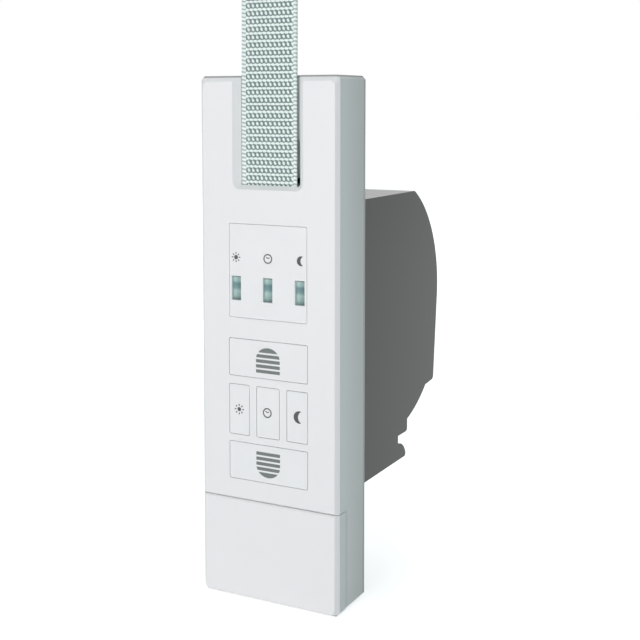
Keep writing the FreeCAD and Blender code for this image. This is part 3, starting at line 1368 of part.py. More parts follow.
def worm_wheel():
    """The helical wheel on its sleeve, which also carries the pinion."""
    half = WHEEL_FACE / 2
    lead_slope = WORM_LEAD / (2 * math.pi * WORM_PITCH_R)
    twist = half * lead_slope / WHEEL_PITCH_R
    gap_down = -math.pi / 2 + math.pi / WHEEL_TEETH
    at = (COUNTER_Y, COUNTER_Z)
    wires = [
        gear_wire(WHEEL_TEETH, WORM_MODULE, WORM_ADDENDUM, WORM_DEDENDUM, WHEEL_BACKLASH,
                  gap_down + s * twist, s * half, at)
        for s in (-1, 1)
    ]
    wheel = Part.makeLoft(wires, True, True)
    sleeve = rod_x(SLEEVE_R, *at, SLEEVE_START_X, GEAR_X1 + PLATE_GAP)
    bore = rod_x(COUNTER_PIN_R + RUN_FIT, *at, SLEEVE_START_X - BEYOND, GEAR_X1 + 2 * BEYOND)
    return wheel.fuse(sleeve).cut(bore).removeSplitter()


def worm():
    """A right-hand worm on the motor shaft; its thread lies in the wheel's lowest gap."""
    slope = math.tan(math.radians(PRESSURE_DEG))
    core_r = WORM_PITCH_R - WORM_DEDENDUM
    tip_r = WORM_PITCH_R + WORM_ADDENDUM
    half_pitch = (WORM_LEAD / 2 - WORM_BACKLASH) / 2
    sunk = 0.15
    half_root = half_pitch + (WORM_DEDENDUM + sunk) * slope
    half_tip = half_pitch - WORM_ADDENDUM * slope
    corners = [
        V(core_r - sunk, 0, -half_root),
        V(tip_r, 0, -half_tip),
        V(tip_r, 0, half_tip),
        V(core_r - sunk, 0, half_root),
    ]
    profile = Part.makePolygon(corners + corners[:1])
    helix = Part.makeHelix(WORM_LEAD, WORM_L, WORM_PITCH_R)
    thread = Part.Wire(helix.Edges).makePipeShell([profile], True, True)
    if thread.Volume < 0:
        thread.reverse()
    thread = Part.Solid(thread.Shells[0])
    core = Part.makeCylinder(core_r, WORM_L + 2 * WORM_HUB, V(0, 0, -WORM_HUB))
    reach = WORM_HUB + WORM_LEAD
    bore = Part.makeCylinder(MOTOR_SHAFT_R + PRESS_FIT, WORM_L + 2 * reach, V(0, 0, -reach))
    body = core.fuse(thread).cut(bore)
    body.rotate(V(0, 0, 0), V(1, 0, 0), -90)
    body.translate(V(0, WORM_START_Y, WORM_Z))
    return body


# Motor
def motor_shaft():
    return rod_y(MOTOR_SHAFT_R, 0, WORM_Z, MOTOR_START_Y + MOTOR_CAP_WALL + PLATE_GAP, SHAFT_END_Y)


def motor_rotor():
    """The armature with its slots, and the commutator in front of it."""
    y0 = MOTOR_START_Y + ROTOR_START
    y1 = y0 + COMMUTATOR_L
    y2 = y1 + ROTOR_L
    body = rod_y(ROTOR_R, 0, WORM_Z, y1, y2).fuse(rod_y(COMMUTATOR_R, 0, WORM_Z, y0, y1))
    half = ROTOR_SLOT_W / 2
    for index in range(ROTOR_SLOTS):
        slot = box(-half, half, y1 - PLATE_GAP, y2 + BEYOND, ROTOR_R - ROTOR_SLOT_DEPTH, ROTOR_R + BEYOND)
        slot.rotate(V(0, 0, 0), V(0, 1, 0), index * 360 / ROTOR_SLOTS)
        slot.translate(V(0, 0, WORM_Z))
        body = body.cut(slot)
    return body.cut(rod_y(MOTOR_SHAFT_R + PRESS_FIT, 0, WORM_Z, y0 - BEYOND, y2 + BEYOND)).removeSplitter()


def motor_can():
    y0, y1 = MOTOR_START_Y + MOTOR_CAP_L, MOTOR_FRONT_Y
    can = rod_y(MOTOR_R, 0, WORM_Z, y0, y1)
    can = can.cut(rod_y(MOTOR_R - MOTOR_WALL, 0, WORM_Z, y0 - BEYOND, y1 - MOTOR_FRONT_WALL))
    can = can.fuse(rod_y(MOTOR_BOSS_R, 0, WORM_Z, y1 - BEYOND, y1 + BRACKET_T - 2 * PLATE_GAP))
    can = can.cut(rod_y(MOTOR_SHAFT_R + RUN_FIT, 0, WORM_Z, y0, y1 + 2 * BRACKET_T))
    for x in motor_screw_xs():
        can = can.cut(rod_y(SCREW_R + SCREW_FIT, x, WORM_Z, y1 - MOTOR_FRONT_WALL - BEYOND, y1 + BEYOND))
    return can.removeSplitter()


def motor_magnets():
    """Two magnet poles along the can's wall, with a gap between them on each side."""
    outer, inner = MOTOR_R - MOTOR_WALL - PLATE_GAP, ROTOR_R + POLE_AIR_GAP
    y0 = MOTOR_START_Y + ROTOR_START + COMMUTATOR_L / 2
    y1 = y0 + POLE_L
    tube = ring(outer, inner, (0, y0, WORM_Z), (0, y1, WORM_Z))
    half = POLE_GAP / 2
    gap = box(-MOTOR_R, MOTOR_R, y0 - BEYOND, y1 + BEYOND, WORM_Z - half, WORM_Z + half)
    return tube.cut(gap).Solids


def motor_end_cap():
    y0, y1 = MOTOR_START_Y, MOTOR_START_Y + MOTOR_CAP_L
    spigot_r = MOTOR_R - MOTOR_WALL - PLATE_GAP
    cap = rod_y(MOTOR_R, 0, WORM_Z, y0, y1).fuse(rod_y(spigot_r, 0, WORM_Z, y1 - BEYOND, y1 + SPIGOT_L))
    bore = rod_y(MOTOR_SHAFT_R + RUN_FIT, 0, WORM_Z, y0 + MOTOR_CAP_WALL, y1 + SPIGOT_L + BEYOND)
    return cap.cut(bore).removeSplitter()


def motor_screw_xs():
    return (-MOTOR_SCREW_X, MOTOR_SCREW_X)


def motor_bracket():
    half = HOUSING_INNER - PLATE_GAP
    y0, y1 = MOTOR_FRONT_Y, MOTOR_FRONT_Y + BRACKET_T
    low = HOUSING_BOTTOM_Z + HOUSING_WALL + PLATE_GAP
    plate = box(-half, half, y0, y1, low, COUNTER_Z - BRACKET_DROP)
    plate = plate.cut(rod_y(MOTOR_BOSS_R + PLATE_GAP, 0, WORM_Z, y0 - BEYOND, y1 + BEYOND))
    for x in motor_screw_xs():
        plate = plate.cut(rod_y(SCREW_R + SCREW_CLEAR, x, WORM_Z, y0 - BEYOND, y1 + BEYOND))
    return plate


def motor_screws():
    tip, seat = MOTOR_FRONT_Y - MOTOR_FRONT_WALL + PLATE_GAP, MOTOR_FRONT_Y + BRACKET_T
    return [
        pan_screw((x, tip, WORM_Z), (x, seat, WORM_Z), SCREW_R, PAN_HEAD_R, PAN_HEAD_T)
        for x in motor_screw_xs()
    ]


def worm_end_plate():
    half = HOUSING_INNER - PLATE_GAP
    y0, y1 = END_PLATE_Y, END_PLATE_Y + END_PLATE_T
    low = FOOT_Z + HOUSING_WALL + PLATE_GAP
    plate = box(-half, half, y0, y1, low, low + END_PLATE_H)
    return plate.cut(rod_y(MOTOR_SHAFT_R + RUN_FIT, 0, WORM_Z, y0 - BEYOND, y1 + BEYOND))


def encoder_magnet():
    y0, y1 = MAGNET_Y, MAGNET_Y + MAGNET_T
    return ring(MAGNET_R, MOTOR_SHAFT_R + PRESS_FIT, (0, y0, WORM_Z), (0, y1, WORM_Z))


def hall_sensor():
    """A small sensor that stands off the end plate, beside the magnet."""
    x0, z0 = MAGNET_R + HALL_GAP, WORM_Z - HALL_DROP
    return box(x0, x0 + HALL_W, MAGNET_Y, END_PLATE_Y, z0, z0 + HALL_H)


BUILDERS = {
    "front_case": front_case,
    "back_plate": back_plate,
    "terminal_cover": terminal_cover,
    "case_screws": case_screws,
    "indicator_panel": indicator_panel,
    "key_switches": key_switches,
    "main_board": main_board,
    "board_screws": board_screws,
    "status_leds": status_leds,
    "controller_chip": controller_chip,
    "mains_transformer": mains_transformer,
    "motor_relays": motor_relays,
    "supply_capacitor": supply_capacitor,
    "motor_connector": motor_connector,
    "motor_leads": motor_leads,
    "mains_connector": mains_connector,
    "mains_leads": mains_leads,
    "terminal_block": terminal_block,
    "terminal_screws": terminal_screws,
    "cable_clamp": cable_clamp,
    "clamp_screws": clamp_screws,
    "shutter_belt": shutter_belt,
    "belt_end_clamp": belt_end_clamp,
    "belt_roll": belt_roll,
    "guide_roller": guide_roller,
    "guide_roller_pin": guide_roller_pin,
    "housing_screws": housing_screws,
    "flange_screws": flange_screws,
    "drum_core": drum_core,
    "drum_flange": drum_flange,
    "drum_gear": drum_gear,
    "drum_screws": drum_screws,
    "drum_bushes": drum_bushes,
    "drum_axle": drum_axle,
    "belt_hook": belt_hook,
    "countershaft_pin": countershaft_pin,
    "pinion": pinion,
    "worm_wheel": worm_wheel,
    "worm": worm,
    "motor_shaft": motor_shaft,
    "motor_rotor": motor_rotor,
    "motor_can": motor_can,
    "motor_magnets": motor_magnets,
    "motor_end_cap": motor_end_cap,
    "motor_bracket": motor_bracket,
    "motor_screws": motor_screws,
    "worm_end_plate": worm_end_plate,
    "encoder_magnet": encoder_magnet,
    "hall_sensor": hall_sensor,
}


def main():
    os.makedirs("parts", exist_ok=True)
    for node, build in BUILDERS.items():
        export(node, build())
    for node, x in window_xs().items():
        export(node, window(x))
    for node in key_places():
        export(node, key(node))
    export("housing_left", housing_half(-1))
    export("housing_right", housing_half(1))


main()
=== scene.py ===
import bpy
import math
import numpy as np
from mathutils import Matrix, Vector
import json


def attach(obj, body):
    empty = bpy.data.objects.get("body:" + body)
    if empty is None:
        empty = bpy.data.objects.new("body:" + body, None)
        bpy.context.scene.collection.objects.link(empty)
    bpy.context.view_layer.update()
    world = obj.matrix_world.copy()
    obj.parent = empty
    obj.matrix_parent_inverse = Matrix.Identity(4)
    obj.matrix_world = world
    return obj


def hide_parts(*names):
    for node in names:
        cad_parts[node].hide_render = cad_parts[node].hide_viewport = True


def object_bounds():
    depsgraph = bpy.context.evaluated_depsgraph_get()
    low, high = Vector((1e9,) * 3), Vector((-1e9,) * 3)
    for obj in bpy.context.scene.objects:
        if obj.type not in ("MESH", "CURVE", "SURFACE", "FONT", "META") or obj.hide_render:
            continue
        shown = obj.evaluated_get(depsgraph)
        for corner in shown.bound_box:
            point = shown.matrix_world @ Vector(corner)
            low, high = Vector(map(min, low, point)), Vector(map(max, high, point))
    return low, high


# Places and sizes are in metres. A size in millimetres is written times MM.
MM = 0.001

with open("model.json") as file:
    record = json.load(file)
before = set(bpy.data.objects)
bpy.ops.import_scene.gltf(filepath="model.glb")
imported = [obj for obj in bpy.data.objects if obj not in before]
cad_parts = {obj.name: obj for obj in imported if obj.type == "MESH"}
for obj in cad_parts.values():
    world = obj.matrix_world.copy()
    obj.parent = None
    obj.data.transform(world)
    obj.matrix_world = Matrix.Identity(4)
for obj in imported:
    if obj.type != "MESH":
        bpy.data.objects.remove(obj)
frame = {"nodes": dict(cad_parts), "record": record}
cad_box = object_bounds()
scene = bpy.context.scene
# The front face in y, and the lowest point, which the floor is at
FRONT = cad_box[0][1]
FLOOR_Z = cad_box[0][2]

# Camera, fitted to the photo's straight edges. Its angles are in degrees.
CAMERA_AT = (0.2116, -0.3866, 0.0872)
CAMERA_DOWN, CAMERA_TURN = 4.307, 27.534
CAMERA_LENS, CAMERA_SHIFT = 65.67, -0.20
cam_data = bpy.data.cameras.new("Camera")
cam_data.lens = CAMERA_LENS
cam_data.sensor_width = 36.0
cam_data.shift_y = CAMERA_SHIFT
cam_data.clip_start = 0.01
cam_data.clip_end = 50.0
camera = bpy.data.objects.new("Camera", cam_data)
camera.location = CAMERA_AT
camera.rotation_euler = (math.radians(90.0 - CAMERA_DOWN), 0.0, math.radians(CAMERA_TURN))
scene.collection.objects.link(camera)
scene.camera = camera
scene.view_settings.view_transform = "Standard"


# Steps that the materials are made of. Most add one node to the tree and give its output.
def new_material(name):
    mat = bpy.data.materials.new(name)
    mat.use_nodes = True
    return mat, mat.node_tree


def feed(tree, socket, value):
    """Links a socket to an output, or sets it to a number or to a colour of three numbers."""
    if isinstance(value, bpy.types.NodeSocket):
        tree.links.new(value, socket)
    elif socket.type == "RGBA":
        socket.default_value = value + (1.0,)
    else:
        socket.default_value = value


def place_on_piece(tree):
    return tree.nodes.new("ShaderNodeTexCoord").outputs["Object"]


def axes(tree, place):
    node = tree.nodes.new("ShaderNodeSeparateXYZ")
    tree.links.new(place, node.inputs[0])
    return node.outputs


def reshaped(tree, place, scale=(1.0, 1.0, 1.0), turn=(0.0, 0.0, 0.0)):
    """This place, scaled and turned. A small scale draws a pattern out along its axis."""
    node = tree.nodes.new("ShaderNodeMapping")
    node.inputs["Scale"].default_value = scale
    node.inputs["Rotation"].default_value = turn
    tree.links.new(place, node.inputs["Vector"])
    return node.outputs["Vector"]


def noise(tree, place, scale, detail=2.0):
    node = tree.nodes.new("ShaderNodeTexNoise")
    node.inputs["Scale"].default_value = scale
    node.inputs["Detail"].default_value = detail
    tree.links.new(place, node.inputs["Vector"])
    return node.outputs["Fac"]


def mapped(tree, value, start, end, low=0.0, high=1.0, kind="LINEAR"):
    """Takes start to low and end to high, and holds the value beyond them."""
    node = tree.nodes.new("ShaderNodeMapRange")
    node.interpolation_type = kind
    node.inputs["From Min"].default_value = start
    node.inputs["From Max"].default_value = end
    node.inputs["To Min"].default_value = low
    node.inputs["To Max"].default_value = high
    tree.links.new(value, node.inputs["Value"])
    return node.outputs["Result"]


def worked_out(tree, operation, *values):
    """The result of this operation on outputs and numbers."""
    node = tree.nodes.new("ShaderNodeMath")
    node.operation = operation
    for socket, value in zip(node.inputs, values):
        feed(tree, socket, value)
    return node.outputs[0]


def strengthened(tree, colour, strength):
    """A colour times a number."""
    node = tree.nodes.new("ShaderNodeVectorMath")
    node.operation = "SCALE"
    feed(tree, node.inputs[0], colour)
    tree.links.new(strength, node.inputs["Scale"])
    return node.outputs["Vector"]


def blended(tree, share, first, second):
    """The first colour at a share of 0, the second one at 1."""
    node = tree.nodes.new("ShaderNodeMix")
    node.data_type = "RGBA"
    tree.links.new(share, node.inputs[0])
    feed(tree, node.inputs[6], first)
    feed(tree, node.inputs[7], second)
    return node.outputs[2]


def raised(tree, height, strength):
    """The surface's direction where it stands up by this height, with 1 for 0.1 mm."""
    node = tree.nodes.new("ShaderNodeBump")
    node.inputs["Strength"].default_value = strength
    node.inputs["Distance"].default_value = 0.1 * MM
    tree.links.new(height, node.inputs["Height"])
    return node.outputs["Normal"]


def finish(mat, colour, rough, metal=0.0, normal=None, gloss=0.5):
    """Feeds the material's main shader."""
    tree = mat.node_tree
    shader = tree.nodes["Principled BSDF"].inputs
    feed(tree, shader["Base Color"], colour)
    feed(tree, shader["Roughness"], rough)
    feed(tree, shader["Metallic"], metal)
    feed(tree, shader["Specular IOR Level"], gloss)
    if normal is not None:
        tree.links.new(normal, shader["Normal"])
    return mat


def seen_share(tree):
    """1 for the camera's rays, for mirrored rays and for rays through glass, and 0 for lighting."""
    path = tree.nodes.new("ShaderNodeLightPath").outputs
    share = worked_out(tree, "MAXIMUM", path["Is Camera Ray"], path["Is Glossy Ray"])
    return worked_out(tree, "MAXIMUM", share, path["Is Transmission Ray"])


# The blotches' scale, and the least and most roughness as shares of a material's own
BLOTCHES = 60.0
ROUGH_LOW, ROUGH_HIGH = 0.85, 1.15


def moulded(name, colour, rough, metal=0.0, grain=4000.0, depth=0.02, shade=0.04, painted_shading=(), gloss=0.5,
            stretch=(1.0, 1.0, 1.0)):
    """A surface with a fine grain in its height and its gloss, and faint blotches in its colour.

    The painted shade and painted light are listed as (axis, from, to, share), with from and to in
    millimetres. Between them the colour goes over to this share of itself, darker or lighter as light
    would fall. stretch draws the grain out along the axes where it is small.
    """
    mat, tree = new_material(name)
    place = place_on_piece(tree)
    fine = noise(tree, reshaped(tree, place, stretch), grain)
    strength = mapped(tree, noise(tree, place, BLOTCHES), 0.0, 1.0, 1.0 - shade, 1.0)
    # Painted shade and painted light, one step along an axis at a time
    for axis, start, end, share in painted_shading:
        painted_fade = mapped(tree, axes(tree, place)[axis], start * MM, end * MM, 1.0, share, "SMOOTHSTEP")
        strength = worked_out(tree, "MULTIPLY", strength, painted_fade)
    colour = strengthened(tree, colour, strength)
    uneven = mapped(tree, fine, 0.0, 1.0, rough * ROUGH_LOW, rough * ROUGH_HIGH)
    return finish(mat, colour, uneven, metal, raised(tree, fine, depth), gloss)


# The indicator windows: their ends in z, from one middle to the next in x, the painted light and shade
# up their height as (share of the height, colour), and the painted light from left to right.
WINDOW_LOW, WINDOW_HIGH = 15.0 * MM, 24.0 * MM
WINDOW_PITCH = 13.3 * MM
WINDOW_PAINTED_LIGHT = (
    (0.00, (0.10, 0.17, 0.16)),
    (0.06, (0.17, 0.27, 0.25)),
    (0.16, (0.30, 0.44, 0.41)),
    (0.36, (0.39, 0.55, 0.54)),
    (0.50, (0.18, 0.31, 0.31)),
    (0.67, (0.13, 0.26, 0.27)),
    (0.78, (0.34, 0.50, 0.48)),
    (0.90, (0.40, 0.56, 0.52)),
    (0.96, (0.16, 0.24, 0.23)),
    (1.00, (0.10, 0.15, 0.15)),
)
WINDOW_LEFT, WINDOW_RIGHT = -1.7 * MM, 1.0 * MM
LEFT_PAINTED_LIGHT, RIGHT_PAINTED_LIGHT = 1.18, 0.70


def lens(name):
    """Clear teal plastic over a lamp, with painted shade at its ends, painted reflections up its height
    (the dark middle band partly the lamp behind) and painted light on its left.
    """
    mat, tree = new_material(name)
    place = axes(tree, place_on_piece(tree))
    bands = tree.nodes.new("ShaderNodeValToRGB")
    ramp = bands.color_ramp
    while len(ramp.elements) < len(WINDOW_PAINTED_LIGHT):
        ramp.elements.new(0.5)
    # A new position can change the elements' order, so the tones follow when all positions are set.
    for element, (share, _) in zip(ramp.elements, WINDOW_PAINTED_LIGHT):
        element.position = share
    for element, (_, tone) in zip(ramp.elements, WINDOW_PAINTED_LIGHT):
        element.color = tone + (1.0,)
    # Painted reflection bands and painted shade at the ends, up the window's height
    tree.links.new(mapped(tree, place["Z"], WINDOW_LOW, WINDOW_HIGH), bands.inputs["Fac"])
    # From a window's own middle, whichever of the three it is
    across = worked_out(tree, "WRAP", place["X"], WINDOW_PITCH / 2, -WINDOW_PITCH / 2)
    # Painted light: lighter on each window's left than on its right
    light = mapped(tree, across, WINDOW_LEFT, WINDOW_RIGHT, LEFT_PAINTED_LIGHT, RIGHT_PAINTED_LIGHT, "SMOOTHSTEP")
    return finish(mat, strengthened(tree, bands.outputs["Color"], light), rough=0.12)


# The board: tracks with their length, spacing and width in millimetres, and pads
TRACKS = (
    ("Scale", 1.0 / MM),
    ("Brick Width", 6.5),
    ("Row Height", 2.1),
    ("Mortar Size", 0.22),
    ("Color1", (0.020, 0.16, 0.070)),
    ("Color2", (0.026, 0.19, 0.085)),
    ("Mortar", (0.070, 0.34, 0.150)),
)
PADS_SCALE, PADS_SCATTER = 260.0, 0.6
PAD_EDGE, PAD_INSIDE = 0.17, 0.14
TIN = (0.62, 0.62, 0.60)


def circuit_board(name):
    """Green solder mask with paler tracks under it, and tinned pads."""
    mat, tree = new_material(name)
    flat = reshaped(tree, place_on_piece(tree), turn=(math.pi / 2, 0.0, 0.0))
    tracks = tree.nodes.new("ShaderNodeTexBrick")
    for socket, value in TRACKS:
        feed(tree, tracks.inputs[socket], value)
    tree.links.new(flat, tracks.inputs["Vector"])
    pads = tree.nodes.new("ShaderNodeTexVoronoi")
    pads.inputs["Scale"].default_value = PADS_SCALE
    pads.inputs["Randomness"].default_value = PADS_SCATTER
    tree.links.new(flat, pads.inputs["Vector"])
    tinned = mapped(tree, pads.outputs["Distance"], PAD_EDGE, PAD_INSIDE)
    colour = blended(tree, tinned, tracks.outputs["Color"], TIN)
    return finish(mat, colour, rough=0.32, metal=tinned)


def wound(name, low, high, pitch, rough, metal=0.0):
    """Wire or tape wound side by side, each turn rounded and a little different, with painted shade
    making it darker between the turns.
    """
    mat, tree = new_material(name)
    turns = tree.nodes.new("ShaderNodeTexWave")
    turns.bands_direction = "X"
    # At a scale of 1 a band is pi / 10 wide.
    turns.inputs["Scale"].default_value = math.pi / (10.0 * pitch)
    turns.inputs["Distortion"].default_value = 0.6
    tree.links.new(place_on_piece(tree), turns.inputs["Vector"])
    height = turns.outputs["Fac"]
    normal = raised(tree, height, strength=0.5)
    # Painted shade: the colour goes to low between the turns and to high on their crowns
    return finish(mat, blended(tree, height, low, high), rough, metal, normal)


def woven(name, bright, dark):
    """Webbing: bright on the yarns' crowns, with painted shade making it dark between them, and fine
    fibres.
    """
    mat, tree = new_material(name)
    crown = tree.nodes.new("ShaderNodeAttribute")
    crown.attribute_name = "crown"
    # Painted shade: the colour goes from bright on the crowns to dark where the weave is low
    share = mapped(tree, crown.outputs["Fac"], start=0.10, end=0.80, kind="SMOOTHSTEP")
    drawn = reshaped(tree, place_on_piece(tree), scale=(1.0, 0.25, 0.25))
    fibres = noise(tree, drawn, scale=9000.0, detail=3.0)
    normal = raised(tree, fibres, strength=0.35)
    return finish(mat, blended(tree, share, dark, bright), rough=0.75, normal=normal)


# How the grain is drawn out on what is turned about X and on what is brushed along Z
TURNED = (1.0, 0.06, 0.06)
BRUSHED = (0.6, 0.6, 0.04)

# The case's painted shade, darker where less light falls: its sides toward the wall, the seam at the
# wall, the bevels right and left with the sides behind them, the lower bevel, and the upper bevel with
# the top behind it
SHELL_PAINTED_SHADE = (
    ("Y", -20.0, -1.0, 0.80),
    ("Y", -1.7, -1.1, 0.70),
    ("X", 27.3, 27.7, 0.96),
    ("X", 28.68, 28.76, 1.04),
    ("X", -27.3, -27.7, 0.88),
    ("X", -28.68, -28.76, 1.13),
    ("Z", -96.8, -97.3, 0.55),
    ("Z", 96.6, 97.1, 0.42),
    ("Z", 97.44, 97.49, 2.2),
)
# Painted light: the panel and the keys are lighter right behind their front faces, so the gaps between
# them look less shaded.
FACE_PAINTED_LIGHT = (("Y", -21.98, -21.9, 1.12),)

# shell_white, panel_white and key_white carry the painted shade and painted light listed above.
MOULDED = {
    "shell_white": dict(colour=(0.86, 0.862, 0.868), rough=0.42, shade=0.02, painted_shading=SHELL_PAINTED_SHADE),
    "panel_white": dict(colour=(0.87, 0.875, 0.88), rough=0.36, painted_shading=FACE_PAINTED_LIGHT),
    "key_white": dict(colour=(0.87, 0.875, 0.88), rough=0.40, painted_shading=FACE_PAINTED_LIGHT),
    "back_grey": dict(colour=(0.33, 0.35, 0.36), rough=0.5),
    "housing_grey": dict(colour=(0.038, 0.033, 0.033), rough=0.24, gloss=0.30),
    "belt_weave": dict(colour=(0.50, 0.56, 0.53), rough=0.8),
    "drum_plastic": dict(colour=(0.70, 0.70, 0.68), rough=0.4),
    "gear_plastic": dict(colour=(0.75, 0.73, 0.66), rough=0.4),
    "magnet_black": dict(colour=(0.07, 0.07, 0.08), rough=0.55),
    "cap_black": dict(colour=(0.03, 0.03, 0.03), rough=0.45),
    "led_clear": dict(colour=(0.75, 0.85, 0.80), rough=0.15),
    "relay_blue": dict(colour=(0.06, 0.20, 0.45), rough=0.4),
    "connector_white": dict(colour=(0.78, 0.78, 0.74), rough=0.45),
    "wire_black": dict(colour=(0.04, 0.04, 0.04), rough=0.5),
    "terminal_grey": dict(colour=(0.50, 0.52, 0.53), rough=0.45),
    "steel": dict(colour=(0.60, 0.60, 0.61), rough=0.3, metal=1.0,
                  grain=9000.0, depth=0.10, shade=0.10, stretch=TURNED),
    "worm_brass": dict(colour=(0.71, 0.56, 0.28), rough=0.25, metal=1.0,
                       grain=9000.0, depth=0.10, shade=0.10, stretch=TURNED),
    "motor_metal": dict(colour=(0.62, 0.63, 0.64), rough=0.35, metal=1.0,
                        grain=9000.0, depth=0.10, shade=0.08, stretch=BRUSHED),
    "screw_zinc": dict(colour=(0.66, 0.67, 0.68), rough=0.32, metal=1.0,
                       grain=7000.0, depth=0.08, shade=0.12),
    "bush_bronze": dict(colour=(0.60, 0.42, 0.22), rough=0.4, metal=1.0,
                        grain=6000.0, depth=0.15, shade=0.15),
}
SLOTS = {name: moulded(name, **values) for name, values in MOULDED.items()}
SLOTS["window_teal"] = lens("window_teal")
SLOTS["board_green"] = circuit_board("board_green")
# The windings' low colours are painted shade between the turns.
SLOTS["rotor_metal"] = wound("rotor_metal", low=(0.16, 0.06, 0.03), high=(0.62, 0.30, 0.14),
                             pitch=0.45 * MM, rough=0.35, metal=0.9)
SLOTS["transformer_yellow"] = wound("transformer_yellow", low=(0.50, 0.38, 0.08), high=(0.68, 0.55, 0.17),
                                    pitch=3.0 * MM, rough=0.45)
for part in frame["record"]["subparts"]:
    node = frame["nodes"][part["node"]]
    mat = SLOTS[part["material_slot"]]
    if not node.material_slots:
        node.data.materials.append(mat)
    for slot in node.material_slots:
        slot.link = "OBJECT"
        slot.material = mat

# The belt's size, and the route of its strand in millimetres, from the roll up to its end clamp
BELT_W, BELT_T = 23.0 * MM, 1.2 * MM
ROUTE = (
    (0.0, 69.4, 32.4),
    (0.0, 62.6, 37.6),
    (0.0, 45.6, 39.8),
    (-0.1, 18.0, 43.4),
    (-0.4, -8.8, 47.0),
    (-0.6, -19.1, 48.3),
    (-0.7, -19.1, 58.7),
    (-0.7, -19.1, 95.0),
    (-0.5, -19.1, 134.0),
)
# The weave: crowns in columns across and in rows along. The two kinds of crown take turns, row by
# row. Each has its first row, its half width and its half height. All of them lean.
COLUMN = 1.83 * MM
HALF_ROW = 1.42 * MM
CROWNS = ((0.0, 0.57 * COLUMN, 0.60 * MM), (1.0, 0.33 * COLUMN, 0.80 * MM))
SECOND_SHIFT = 0.38 * COLUMN
CROWN_LEAN = -0.30
# The borders: their widths, the way over to them, and their ticks' least height and slope
BORDER_LEFT, BORDER_RIGHT = 2.1 * MM, 1.5 * MM
BORDER_BLEND = 0.2 * MM
TICK_LOW, TICK_SLOPE = 0.28, 0.16
# The section: how far in its outermost points lie, how wide its edges are rounded and what share of
# the thickness is left there. The back's weave is shifted sideways.
EDGE = 0.05 * MM
ROUNDED_W, ROUNDED_LEFT = 0.9 * MM, 0.55
BACK_SHIFT = 0.9 * MM


def belt_route():
    """The strand's centreline from the roll to its upper end, as a smooth spline."""
    data = bpy.data.curves.new("route", "CURVE")
    data.dimensions = "3D"
    data.resolution_u = 48
    spline = data.splines.new("NURBS")
    spline.points.add(len(ROUTE) - 1)
    for point, (x, y, z) in zip(spline.points, ROUTE):
        point.co = (x * MM, y * MM, z * MM, 1.0)
    spline.order_u = 3
    spline.use_endpoint_u = True
    line = bpy.data.objects.new("route", data)
    mesh = bpy.data.meshes.new_from_object(line)
    points = [tuple(vertex.co) for vertex in mesh.vertices]
    bpy.data.meshes.remove(mesh)
    bpy.data.objects.remove(line)
    bpy.data.curves.remove(data)
    return points


def lengths_along(line):
    """How far along the line each of its points is."""
    steps = np.linalg.norm(np.diff(line, axis=0), axis=1)
    return np.concatenate([[0.0], np.cumsum(steps)])


def spaced(points, step):
    """Places along a line at even steps, with the line's point and direction at each."""
    line = np.array(points)
    lengths = lengths_along(line)
    places = np.linspace(0.0, lengths[-1], int(round(lengths[-1] / step)) + 1)
    centre = np.stack([np.interp(places, lengths, line[:, k]) for k in range(3)], axis=1)
    along = np.gradient(centre, axis=0)
    along /= np.linalg.norm(along, axis=1)[:, None]
    return places, centre, along


def weave(across, along):
    """Height of the woven face, from 0 to 1, at these places."""
    height = np.zeros(np.broadcast(across, along).shape)
    for first, half_w, half_h in CROWNS:
        row = np.round((along / HALF_ROW - first) / 2.0) * 2.0 + first
        up = along - row * HALF_ROW
        side = across - CROWN_LEAN * up - first * SECOND_SHIFT
        side = side - np.round(side / COLUMN) * COLUMN
        inside = 1.0 - (side / half_w) ** 2 - (up / half_h) ** 2
        height = np.maximum(height, np.sqrt(np.clip(inside, 0.0, 1.0)))
    return height


def belt_face(across, along, shift):
    """Height of one face, from 0 to 1: the weave between two borders with slanting ticks."""
    border = BELT_W / 2 - np.where(across < 0.0, BORDER_LEFT, BORDER_RIGHT)
    bordered = np.clip((np.abs(across) - border) / BORDER_BLEND, 0.0, 1.0)
    ticks = np.sin(math.pi * (along + TICK_SLOPE * across) / HALF_ROW) ** 2
    ticks = TICK_LOW + (1.0 - TICK_LOW) * ticks
    return weave(across + shift, along) * (1.0 - bordered) + ticks * bordered


